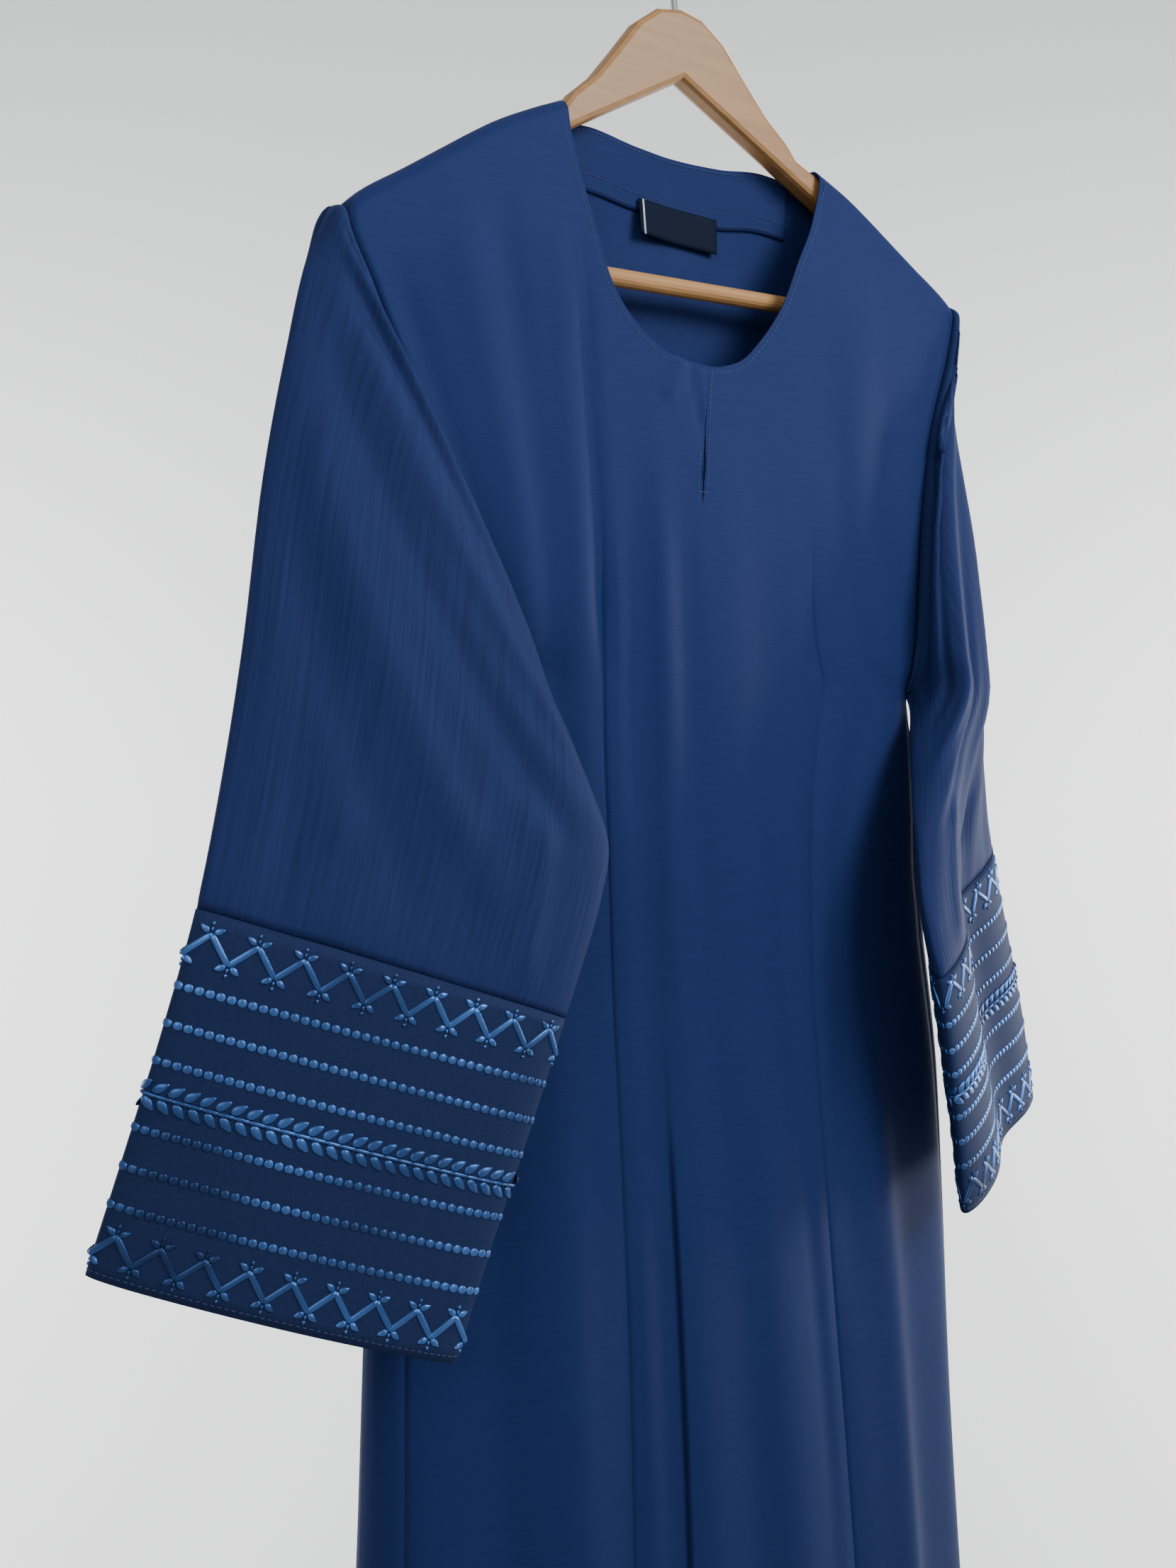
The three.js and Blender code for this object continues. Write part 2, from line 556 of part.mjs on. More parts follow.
// The panels keep the seam gap between them along the shoulders and the side seams
function openSeams(sheet) {
  const columns = sheet.leftOf.length;
  const shoulders = [...SHOULDER_PARTS.keys()].flatMap((i) => [i, columns - 1 - i]);
  const topEdge = [...shoulders, SHOULDER_PARTS.length, columns - 1 - SHOULDER_PARTS.length];
  drawBack(sheet, topEdge.map((c) => sheet.leftOf[c][0]), topEdge.map((c) => sheet.leftOf[c][1]));
  const rows = Array.from({ length: rowCount - armholeRows }, (unused, i) => armholeRows + i);
  drawBack(sheet, rows.map((r) => sheet.first[r]), rows.map((r) => sheet.leftOf[1][r]));
  drawBack(sheet, rows.map((r) => sheet.last[r]), rows.map((r) => sheet.rightOf[columns - 2][r]));
}
openSeams(front);
openSeams(back);

// A small sheet laid on the inside of a panel, at parts of the panel's own columns and rows
function lining(sheet, columns, rows, inward) {
  const corner = (c, r) => {
    const index = sheet.leftOf[c][r];
    return { point: sheet.points[index], normal: sheet.normals[index] };
  };
  const grid = columns.map((c) => rows.map((r) => {
    const c0 = Math.min(Math.floor(c), sheet.leftOf.length - 2);
    const r0 = Math.min(Math.floor(r), rowCount - 2);
    const blend = (name) => {
      const top = corner(c0, r0)[name].clone().lerp(corner(c0 + 1, r0)[name], c - c0);
      const bottom = corner(c0, r0 + 1)[name].clone().lerp(corner(c0 + 1, r0 + 1)[name], c - c0);
      return top.lerp(bottom, r - r0);
    };
    return blend('point').addScaledVector(blend('normal').normalize(), -inward);
  }));
  const piece = sheetFromGrid(grid);
  sharedNormals([piece]);
  return piece;
}

const backMiddle = (back.leftOf.length - 1) / 2;
const facing = lining(back, FACING_COLUMNS.map((c) => backMiddle + c), FACING_ROWS, CLOTH + SEAM_GAP);
const label = lining(back, LABEL_COLUMNS.map((c) => backMiddle + c), LABEL_ROWS,
  CLOTH + SEAM_GAP + FACING_CLOTH + SEAM_GAP);
const underlap = lining(front, UNDERLAP_COLUMNS.map((c) => slitColumn + c), UNDERLAP_ROWS, CLOTH + SEAM_GAP);

// Hanger wood: one outline pushed through its thickness, with holes for the bar and the hook's shank
function woodOutline() {
  const arm = [];
  for (const row of CROWN_TOP) arm.push(new THREE.Vector2(row.x, row.z));
  for (const row of SHOULDER_TOP) {
    const clear = row.x > CROWN_TOP[CROWN_TOP.length - 1].x && row.x < HANGER_HALF - 6;
    if (clear) arm.push(new THREE.Vector2(row.x, row.z - WOOD_BELOW_CLOTH));
  }
  const topAtTip = read(SHOULDER_TOP, 'x', HANGER_HALF, 'z') - WOOD_BELOW_CLOTH;
  arm.push(new THREE.Vector2(HANGER_HALF, topAtTip - 5));
  arm.push(new THREE.Vector2(HANGER_HALF, topAtTip - 12));
  arm.push(new THREE.Vector2(HANGER_HALF - 7, LEG_BOTTOM_Z));
  arm.push(new THREE.Vector2(LEG_INNER_X + 8, LEG_BOTTOM_Z));
  arm.push(new THREE.Vector2(LEG_INNER_X, LEG_BOTTOM_Z + 6));
  arm.push(new THREE.Vector2(LEG_INNER_X, LEG_BOTTOM_Z + 18));
  arm.push(new THREE.Vector2(LEG_INNER_X - 12, -ARM_SLOPE * (LEG_INNER_X - 12)));
  const left = arm.slice(1).reverse().map((point) => new THREE.Vector2(-point.x, point.y));
  return new THREE.Shape([...arm, new THREE.Vector2(0, 0), ...left]);
}

function plainSolid(wasm, geometry) {
  const bare = geometry.clone();
  bare.deleteAttribute('normal');
  bare.deleteAttribute('uv');
  const merged = mergeVertices(bare, 1e-3);
  const vertProperties = new Float32Array(merged.attributes.position.array);
  const triVerts = new Uint32Array(merged.index.array);
  return new wasm.Manifold(new wasm.Mesh({ numProp: 3, vertProperties, triVerts }));
}

function geometryOf(solid) {
  const result = solid.getMesh();
  const geometry = new THREE.BufferGeometry();
  geometry.setAttribute('position', new THREE.Float32BufferAttribute(result.vertProperties, 3));
  geometry.setIndex([...result.triVerts]);
  geometry.computeVertexNormals();
  return geometry;
}

async function hangerWood() {
  const wasm = await Module();
  wasm.setup();
  const depth = WOOD_THICKNESS - 2 * WOOD_BEVEL;
  const block = new THREE.ExtrudeGeometry(woodOutline(), {
    depth, bevelEnabled: true, bevelThickness: WOOD_BEVEL, bevelSize: WOOD_BEVEL, bevelOffset: -WOOD_BEVEL,
    bevelSegments: 2,
  });
  block.translate(0, 0, -depth / 2);
  block.rotateX(Math.PI / 2);
  let wood = plainSolid(wasm, block);
  const barHole = new THREE.CylinderGeometry(BAR_RADIUS + HOLE_CLEARANCE, BAR_RADIUS + HOLE_CLEARANCE,
    2 * (BAR_HALF + HOLE_CLEARANCE), 16);
  barHole.rotateZ(Math.PI / 2).translate(0, 0, BAR_Z);
  const shankHole = new THREE.CylinderGeometry(WIRE_RADIUS + HOLE_CLEARANCE, WIRE_RADIUS + HOLE_CLEARANCE,
    SHANK_DEPTH * 2, 12);
  shankHole.rotateX(Math.PI / 2).translate(0, 0, CROWN_TOP[0].z);
  wood = wood.subtract(plainSolid(wasm, barHole)).subtract(plainSolid(wasm, shankHole));
  return geometryOf(wood).translate(0, 0, -NOTCH_DROP);
}

function hangerBar() {
  const bar = new THREE.CylinderGeometry(BAR_RADIUS, BAR_RADIUS, 2 * BAR_HALF, 16);
  return bar.rotateZ(Math.PI / 2).translate(0, 0, BAR_Z - NOTCH_DROP);
}

// The hook: a straight shank, a short bend, and most of a circle whose inner top is the origin
function hangerHook() {
  const turn = (degrees) => {
    const radians = THREE.MathUtils.degToRad(degrees);
    return new THREE.Vector3(HOOK_RADIUS * Math.cos(radians), 0, HOOK_CENTRE_Z + HOOK_RADIUS * Math.sin(radians));
  };
  const shankFoot = CROWN_TOP[0].z - NOTCH_DROP - SHANK_DEPTH + 1;
  const route = new THREE.CatmullRomCurve3([
    new THREE.Vector3(0, 0, shankFoot),
    new THREE.Vector3(0, 0, shankFoot + SHANK_DEPTH),
    new THREE.Vector3(0, 0, HOOK_CENTRE_Z - HOOK_RADIUS - 12),
    new THREE.Vector3(6, 0, HOOK_CENTRE_Z - HOOK_RADIUS - 1),
    turn(-38), turn(-5), turn(30), turn(60), turn(90), turn(120), turn(150), turn(180),
  ]);
  const section = new THREE.Shape();
  section.absarc(0, 0, WIRE_RADIUS, 0, 2 * Math.PI, false);
  return new THREE.ExtrudeGeometry(section, { extrudePath: route, steps: 40, curveSegments: 4, bevelEnabled: false });
}

const garment = new THREE.Group();
garment.position.set(GARMENT_X, 0, 0);
garment.add(
  mesh('front', solidFromSheet(front, CLOTH), NAVY),
  mesh('back', solidFromSheet(back, CLOTH), NAVY),
  mesh('sleeve_left', solidFromSheet(leftTubes.sleeve, CLOTH), SLEEVE_NAVY),
  mesh('sleeve_right', solidFromSheet(rightTubes.sleeve, CLOTH), SLEEVE_NAVY),
  mesh('cuff_left', solidFromSheet(leftTubes.cuff, CLOTH), CUFF_NAVY),
  mesh('cuff_right', solidFromSheet(rightTubes.cuff, CLOTH), CUFF_NAVY),
  mesh('back_neck_facing', solidFromSheet(facing, FACING_CLOTH), INSIDE_NAVY),
  mesh('neck_label', solidFromSheet(label, FACING_CLOTH), LABEL_NAVY),
  mesh('placket_underlap', solidFromSheet(underlap, FACING_CLOTH), INSIDE_NAVY),
);

const hanger = new THREE.Group();
hanger.rotation.y = -HANGER_TILT;
hanger.add(
  mesh('hanger_wood', await hangerWood(), WOOD),
  mesh('hanger_bar', hangerBar(), WOOD),
  mesh('hanger_hook', hangerHook(), STEEL),
);

const abaya = new THREE.Group();
abaya.add(garment, hanger);
export default abaya;
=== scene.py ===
import math

import bpy
import numpy as np
from mathutils import Matrix, Vector


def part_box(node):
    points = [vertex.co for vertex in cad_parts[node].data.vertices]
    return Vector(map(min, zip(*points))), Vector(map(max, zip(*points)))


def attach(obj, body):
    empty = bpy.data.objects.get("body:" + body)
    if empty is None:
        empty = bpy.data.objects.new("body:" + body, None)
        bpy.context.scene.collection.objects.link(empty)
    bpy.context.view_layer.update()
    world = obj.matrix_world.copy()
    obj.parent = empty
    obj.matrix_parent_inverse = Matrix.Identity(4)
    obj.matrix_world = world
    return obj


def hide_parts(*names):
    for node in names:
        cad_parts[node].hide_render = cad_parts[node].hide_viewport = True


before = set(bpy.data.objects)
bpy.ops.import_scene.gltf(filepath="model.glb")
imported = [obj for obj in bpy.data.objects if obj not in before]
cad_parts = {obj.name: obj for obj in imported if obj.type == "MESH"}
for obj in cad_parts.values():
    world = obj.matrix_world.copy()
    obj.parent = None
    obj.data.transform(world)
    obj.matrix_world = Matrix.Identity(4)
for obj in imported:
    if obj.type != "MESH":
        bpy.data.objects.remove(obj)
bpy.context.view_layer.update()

# Driving dimensions
MM = 0.001
CLOTH = 0.8
HEM_Z = -1530.0
UNDERARM_Z = -432.0
UNDERARM_ROW_Z = -417.0
YOKE_Z = -300.0
SHOULDER_LEFT = 213.0
SHOULDER_RIGHT = 204.0
NECK_LEFT_X = -89.0
NECK_RIGHT_X = 90.0
STRAP_X = 100.0
UNDERARM_X = 116.5
UNDERARM_BACK_X = 124.0
GARMENT_X = 14.6
ROLL_DEPTH = 10.0
ROLL_DROP = 9.0
SETTLE_DROP = 70.0
HANGER_TILT = math.radians(3.4)
NOTCH_DROP = 106.0
SLIT_BOTTOM_Z = -335.0
SLIT_LEAN_FROM_Z = -400.0
DART_TOP_Z = -345.0
UNDERARM_GAP = 2.2
ARMHOLE_GAP = 0.4
COLLAR_OUT = 6.0
COLLAR_ALONG = 3.0
VALLEY_SPREAD = 0.22

# Camera: where the photograph was taken from, level and turned to the left of the garment
CAMERA_PLACE = (-0.5326, -0.6559, -0.4924)
CAMERA_RIGHT = (0.8087, -0.5882, -0.0025)
CAMERA_UP = (-0.0011, -0.0058, 1.0)
CAMERA_BACK = (-0.5883, -0.8087, -0.0053)
CAMERA_LENS = 35.8

# Lights
WORLD_LIGHT = 0.46
KEY_WATTS = 7.5
FILL_WATTS = 2.5
LAMP_SPREAD = math.radians(75)
KEY_PLACE, KEY_AIM, KEY_SIZE = (0.6, -1.35, 0.5), (0.05, 0, -0.25), 1.1
FILL_PLACE, FILL_AIM, FILL_SIZE = (-1.35, -0.95, 0.35), (-0.2, 0, -0.35), 1.2
BACKDROP_WATTS = 78
BACKDROP_LAMP_AWAY, BACKDROP_LAMP_ASIDE = 1.9, 2.1
BACKDROP_AIM_AWAY, BACKDROP_AIM_ASIDE = 3.6, 0.3

# Colours of the materials, as the renderer's light values
SHEEN_TINT = (0.25, 0.42, 0.9, 1)
BODY_DARK, BODY_LIGHT = (0.0110, 0.0195, 0.079, 1), (0.0125, 0.0220, 0.088, 1)
SLEEVE_DARK, SLEEVE_LIGHT = (0.0105, 0.0180, 0.066, 1), (0.0150, 0.0245, 0.091, 1)
CUFF_DARK, CUFF_LIGHT = (0.0105, 0.0175, 0.054, 1), (0.0140, 0.0225, 0.070, 1)
# Satin thread: its navy in two tones, the darker one painted shade and the lighter one painted sheen
THREAD_IN_SHADE, THREAD_IN_SHEEN = (0.012, 0.034, 0.115, 1), (0.075, 0.20, 0.56, 1)
STITCH_BLUE = (0.0130, 0.0296, 0.0976, 1)
LABEL_NAVY, LABEL_WHITE = (0.0050, 0.0090, 0.0230, 1), (0.5, 0.55, 0.62, 1)
WOOD_DARK, WOOD_LIGHT = (0.23, 0.115, 0.040, 1), (0.32, 0.165, 0.062, 1)
BAR_DARK, BAR_LIGHT = (0.31, 0.165, 0.060, 1), (0.41, 0.225, 0.088, 1)
WIRE_GREY = (0.5776, 0.5906, 0.6038, 1)
PAPER = (0.86, 0.87, 0.86, 1)


def table(columns, rows):
    """Named columns of a short table, each as an array."""
    return dict(zip(columns.split(), np.array(rows, float).T))


# Height of the cloth over the hanger's arm, from the notch, by distance from the hanger's middle
SHOULDER_TOP = table("x z", [
    (0, 8), (60, -15), (82, -26.3), (97, -32.5), (120, -43), (135, -51.5),
    (153, -62.5), (175, -76), (200, -91), (211, -100), (222, -110),
])

# Body section: half width, depths, panel edges, dart line and fold size
BODY = table("z width front back left right dart fold", [
    (-1530, 255, 92, 100, 240, 240, 118, 1),
    (-1200, 224, 70, 82, 211, 211, 95, 0.8),
    (-980, 205, 56, 66, 193, 193, 79, 0.6),
    (-850, 199, 47, 57, 187, 187, 74, 0.45),
    (-745, 197, 38, 50, 185, 185, 71, 0.32),
    (-650, 193, 29, 42, 181, 181, 70, 0.2),
    (-575, 184, 23, 36, 173, 173, 70, 0.1),
    (-515, 165, 21, 31, 155, 155, 70, 0.05),
    (-470, 142, 20, 28, 133, 133, 71, 0),
    (-432, 124, 20, 26, 116.5, 116.5, 71, 0),
    (-417, 150, 20, 25, 124, 124, 71, 0),
    (-402, 172, 19, 24, 134, 134, 71, 0),
    (-360, 215, 19, 22, 152, 151, 72, 0),
    (-324, 240, 18, 21, 168, 165, 74, 0),
    (-254, 262, 16, 18, 200, 190, 87, 0),
    (-222, 270, 16, 17, 213, 200, 93, 0),
    (-196, 270, 16, 17, 213, 204, 97, 0),
    (-160, 270, 16, 16, 213, 204, 100, 0),
    (-90, 270, 16, 16, 213, 204, 100, 0),
])

# Necklines between the two shoulder points
FRONT_NECK = table("x z", [
    (-88.8, -140), (-88.3, -146), (-85, -167), (-80, -195), (-71, -229), (-55, -249), (-30, -261), (0, -263),
    (25, -257), (43, -242), (59, -219), (68, -195), (81, -168), (89.2, -141), (89.7, -134.7),
])
BACK_NECK = table("x z", [
    (-88.8, -140), (-88.4, -145.5), (-80, -142.5), (-60, -140), (-30, -142), (0, -142.5), (30, -141),
    (60, -137), (80, -138), (89.3, -141), (89.7, -134.7),
])

# Vertical folds of the skirt, by angle from the front
SKIRT_FOLDS = table("angle spread height", [
    (-150, 11, 13), (-127, 9, 12), (-102, 9, 10), (-62, 9, 10), (-34, 7, 9), (-9, 7, 8), (11, 6, 8),
    (33, 7, 9), (61, 9, 10), (103, 9, 10), (128, 9, 12), (152, 11, 13), (180, 9, 10), (-180, 9, 10),
])

# Lean and half width of the slit below the neckline
SLIT = table("z lean half", [
    (-400, 0, 0.1), (-335, -7.5, 0.25), (-328, -6.8, 0.8), (-316, -6, 0.9), (-306, -4.8, 0.3),
    (-285, -2.8, 0.12), (-263, -0.5, 0.1),
])

# Sleeves: outer fold, inner fold, depths, and a valley down the front with its place
SLEEVE_COLUMNS = "ox oy oz ix iy iz front back valley at"
LEFT_SLEEVE = table(SLEEVE_COLUMNS, [
    (-230, -2, -246, -112, -24, -456, 18, 19, 0, 0.4),
    (-242, -5, -290, -105, -43, -486, 17, 16, 0, 0.4),
    (-255, -8, -350, -100, -57, -517, 16, 13, 0, 0.4),
    (-268, -14, -430, -107, -60, -545, 15, 12, 0, 0.4),
    (-282, -20, -497, -118, -61, -573, 14, 11, 0, 0.4),
    (-294, -26, -541, -128, -61, -598, 13, 11, 0, 0.4),
    (-307, -21, -592, -147, -60, -647, 12, 11, 0, 0.4),
    (-320, -12, -643, -167, -59, -696, 12, 12, 0, 0.4),
    (-333, -2, -694, -186, -58, -746, 13, 12, 0, 0.4),
])
RIGHT_SLEEVE = table(SLEEVE_COLUMNS, [
    (214, 1, -236, 112, -25, -457, 18, 19, 0, 0.7),
    (220, 1, -285, 107, -44, -488, 17, 16, 4, 0.7),
    (225, 1, -350, 104, -60, -519, 15, 13, 6, 0.65),
    (232, 0, -425, 106, -69, -551, 12, 13, 8, 0.55),
    (240, 0, -480, 109, -75, -574, 10, 14, 13, 0.45),
    (247, 0, -526, 112, -79, -595, 10, 15, 17, 0.4),
    (262, 0, -582, 122, -76, -641, 10, 15, 17, 0.4),
    (277, 0, -638, 133, -72, -687, 10, 14, 15, 0.4),
    (287, 0, -690, 144, -67, -731, 10, 12, 12, 0.4),
])
CUFF_ROW = 5

# How far the right armhole, the side below it and the top of the right sleeve hang out from the tables.
# edge is x of the armhole or of the body's side and inner its move in x.
# far is x of the sleeve's outer fold and outer its move.
LEAN_COLUMNS = "z inner edge outer far"
LEAN_TOP = [
    (-432, 46, 117, -5, 239), (-410, 36, 129, -5, 237), (-370, 20, 147, -5, 233), (-330, 7, 163, -4, 229),
    (-292, -1, 177, -3, 226), (-261, -4, 187, -3, 224), (-231, -3, 198, -3, 222), (-190, -1, 204, -1, 215),
    (-120, 0, 204, 0, 215),
]
LEAN_BODY = table(LEAN_COLUMNS, [
    (-660, 0, 183, 0, 240), (-590, -2, 176, -2, 240), (-550, 2, 167, 2, 240), (-510, 15, 153, 15, 240),
    (-470, 33, 133, 33, 240),
] + LEAN_TOP)
LEAN_SLEEVE = table(LEAN_COLUMNS, [
    (-660, 0, 110, 0, 260), (-583, -2, 110, 0, 256), (-554, 1, 106, 0, 253), (-533, 6, 105, 0, 250),
    (-512, 12, 104, -2, 248), (-492, 20, 107, -3, 246), (-470, 29, 110, -4, 243),
] + LEAN_TOP)
LEAN_FROM_X = 45.0

# Soft creases: a line on the cloth from one place to another, its half width and its rise.
# A trough has a rise below 0.
CREASE_COLUMNS = "x0 z0 x1 z1 spread rise"
FRONT_CREASES = table(CREASE_COLUMNS, [
    (-84, -230, -72, -420, 6, -2.6),
    (-96, -215, -84, -420, 9, 2.0),
    (-52, -330, -44, -1000, 12, -2.8),
    (-20, -345, -8, -700, 9, -1.8),
    (-36, -330, -26, -640, 7, 1.8),
    (14, -360, 30, -1250, 16, 2.8),
    (44, -470, 60, -900, 8, -1.6),
    (-160, -190, -100, -430, 15, 3.0),
    (-135, -180, -88, -520, 9, -2.4),
    (-190, -240, -130, -420, 9, -2.2),
    (120, -200, 88, -560, 17, 2.6),
    (98, -300, 84, -760, 9, -2.4),
    (150, -260, 118, -470, 12, -2.0),
    (112, -620, 132, -1250, 14, 3.4),
    (-100, -560, -104, -1250, 13, 3.0),
    (-140, -600, -152, -1250, 15, -4.0),
    (-18, -262, -30, -285, 4, 1.6),
    (-14, -262, -6, -300, 3.5, -1.4),
])
BACK_CREASES = table(CREASE_COLUMNS, [
    (-60, -210, -66, -900, 16, 3.0),
    (-20, -260, -14, -1100, 13, -2.4),
    (32, -230, 38, -1200, 15, 2.8),
    (76, -250, 84, -1000, 13, -2.6),
    (-118, -240, -122, -800, 16, 2.6),
    (120, -240, 116, -900, 16, 2.6),
])

# Creases of a sleeve, fanning from the shoulder: x across it from the outer fold, z down it from the armhole
SLEEVE_WIDTH = 190.0
SLEEVE_CREASES = table(CREASE_COLUMNS, [
    (8, -6, 176, -13, 6, -3.4),
    (10, -16, 184, -26, 7, 2.6),
    (12, -24, 180, -52, 9, -3.4),
    (10, -40, 176, -92, 12, 3.6),
    (14, -62, 160, -150, 12, -3.2),
    (10, -92, 136, -215, 13, 3.2),
    (12, -128, 100, -240, 12, -2.4),
    (150, -150, 158, -250, 7, 2.2),
    (122, -190, 128, -262, 7, -2.0),
    (60, -205, 64, -262, 10, 1.8),
    (30, -150, 34, -262, 9, -2.0),
])


def smooth_read(x, y, at):
    """A cubic through the rows that never overshoots them. y may hold points."""
    order = np.argsort(x)
    x, y = np.asarray(x, float)[order], np.asarray(y, float)[order]
    shape = (-1,) + (1,) * (y.ndim - 1)
    gap = np.diff(x)
    rise = np.diff(y, axis=0) / gap.reshape(shape)
    slope = np.empty_like(y)
    slope[0], slope[-1] = rise[0], rise[-1]
    before, after = rise[:-1], rise[1:]
    total = np.where(before * after > 0, before + after, 1)
    slope[1:-1] = np.where(before * after > 0, 2 * before * after / total, 0)
    at = np.clip(np.asarray(at, float), x[0], x[-1])
    flat = at.ravel()
    i = np.clip(np.searchsorted(x, flat, side="right") - 1, 0, len(gap) - 1)
    h = gap[i].reshape(shape)
    t = ((flat - x[i]) / gap[i]).reshape(shape)
    start = y[i] * (1 + 2 * t) + slope[i] * h * t
    end = y[i + 1] * (3 - 2 * t) - slope[i + 1] * h * (1 - t)
    found = start * (1 - t) ** 2 + end * t ** 2
    return found.reshape(at.shape + y.shape[1:])


def body(z, name):
    return smooth_read(BODY["z"], BODY[name], z)


def ease(t):
    t = np.clip(t, 0, 1)
    return t * t * (3 - 2 * t)


def shoulder_z(x):
    """Height of the cloth along the tilted hanger."""
    across = np.asarray(x, float) + GARMENT_X
    sin, cos = math.sin(HANGER_TILT), math.cos(HANGER_TILT)
    z = np.full_like(across, -150.0)
    for _ in range(4):
        along = np.abs(across * cos + z * sin)
        z = (smooth_read(SHOULDER_TOP["x"], SHOULDER_TOP["z"], along) - NOTCH_DROP + across * sin) / cos
    return z


def body_point(angle, z):
    """A point of the body's surface at an angle round it, 0 at the front and 180 at the back."""
    radians = np.radians(angle)
    width = body(z, "width")
    at_front = np.abs(angle) < 90
    depth = np.where(at_front, body(z, "front"), body(z, "back"))
    size = body(z, "fold")
    push = np.zeros_like(width)
    for centre, spread, height in zip(SKIRT_FOLDS["angle"], SKIRT_FOLDS["spread"], SKIRT_FOLDS["height"]):
        push += height * np.exp(-(((angle - centre) / spread) ** 2))
    grow = 1 + push * size / np.hypot(width * np.sin(radians), depth * np.cos(radians))
    x = width * np.sin(radians) * grow
    full = depth * np.abs(np.cos(radians)) * grow
    drop = np.maximum(0, shoulder_z(x) - z)
    rolled = ROLL_DEPTH * np.sqrt(np.maximum(0, 1 - (1 - np.minimum(drop / ROLL_DROP, 1)) ** 2))
    settled = np.where(z < YOKE_Z, 1.0, ease((drop - ROLL_DROP) / SETTLE_DROP))
    y = rolled * (1 - settled) + full * settled
    return np.stack([x, np.where(at_front, -y, y), z], -1)


def front_angle(x, z):
    return np.degrees(np.arcsin(np.clip(x / body(z, "width"), -1, 1)))


def back_point(x, z):
    side = np.where(x < 0, -1.0, 1.0)
    return body_point(side * 180 - front_angle(x, z), z)


def edge_at(side, z):
    return np.where(side < 0, body(z, "left"), body(z, "right"))


def row_heights(top, panel_step):
    """Heights of every column's rows, from its top edge to the hem."""
    drops = np.array([0, 0.4, 1, 2, 3, 4.5, 6, 8, 10])
    parts = np.linspace(0, 1, 14)[1:]
    panel = np.concatenate([
        np.arange(YOKE_Z - panel_step, UNDERARM_ROW_Z + 4, -panel_step), [UNDERARM_ROW_Z],
        np.linspace(UNDERARM_ROW_Z, UNDERARM_Z, 4)[1:],
        np.arange(UNDERARM_Z - 8, HEM_Z + 4, -panel_step), [HEM_Z],
    ])
    rolled = top[:, None] - drops[None, :]
    yoke = rolled[:, -1:] + (YOKE_Z - rolled[:, -1:]) * parts[None, :]
    return np.concatenate([rolled, yoke, np.repeat(panel[None, :], len(top), 0)], 1)


def top_edge(neck, count, extra=()):
    """Places along a panel's top edge: left shoulder, neckline, right shoulder."""
    near = np.array([0, 0.5, 1.2, 2.5, 5])
    left = np.concatenate([STRAP_X + near, np.linspace(STRAP_X + 9, SHOULDER_LEFT, 24)])
    right = np.concatenate([STRAP_X + near, np.linspace(STRAP_X + 9, SHOULDER_RIGHT, 22)])
    inner = np.array([NECK_LEFT_X, NECK_RIGHT_X])
    knots = np.concatenate([[inner[0]], neck["x"], [inner[1]]])
    heights = np.concatenate([shoulder_z(inner[:1]), neck["z"], shoulder_z(inner[1:])])
    length = np.concatenate([[0], np.cumsum(np.hypot(np.diff(knots), np.diff(heights)))])
    at = np.unique(np.concatenate([np.linspace(0, length[-1], count), length, length[-2:] - 1]))
    if 0 in neck["x"]:
        middle = length[np.argmin(np.abs(knots))]
        beside = np.array([-5, -2, -0.8, 0.8, 2, 5])
        at = np.unique(np.concatenate([at, middle + beside]))
    x, z = smooth_read(length, knots, at), smooth_read(length, heights, at)
    close = np.array([5, 2.5, 1.2, 0.5])
    strap_left, strap_right = -(STRAP_X - close[::-1]), STRAP_X - close
    xs = np.concatenate([-left[::-1], strap_left, x, strap_right, right])
    tops = np.concatenate([shoulder_z(-left[::-1]), shoulder_z(strap_left), z, shoulder_z(strap_right),
                           shoulder_z(right)])
    return xs, tops


def front_grid():
    xs, tops = top_edge(FRONT_NECK, 62)
    z = row_heights(tops, 10.0)
    side, reach = np.sign(xs)[:, None], np.abs(xs)[:, None]
    dart_top, edge_top = body(tops, "dart")[:, None], edge_at(xs, tops)[:, None]
    inside = reach < STRAP_X - 0.1
    dart, edge = body(z, "dart"), edge_at(np.broadcast_to(side, z.shape), z)
    inner = reach / dart_top * dart
    outer = dart + (reach - dart_top) / (edge_top - dart_top) * (edge - dart)
    strap = (STRAP_X / dart_top) * dart
    inner = np.where(inside, np.minimum(inner, np.where(strap > dart, inner * dart / strap, inner)), inner)
    across = side * np.where(inside, inner, outer)
    middle = np.exp(-((xs / 14) ** 2))[:, None]
    lean = np.where(z > SLIT_LEAN_FROM_Z, smooth_read(SLIT["z"], SLIT["lean"], z), 0) * middle
    across = across + lean
    return body_point(front_angle(across, z), z), xs, across, z


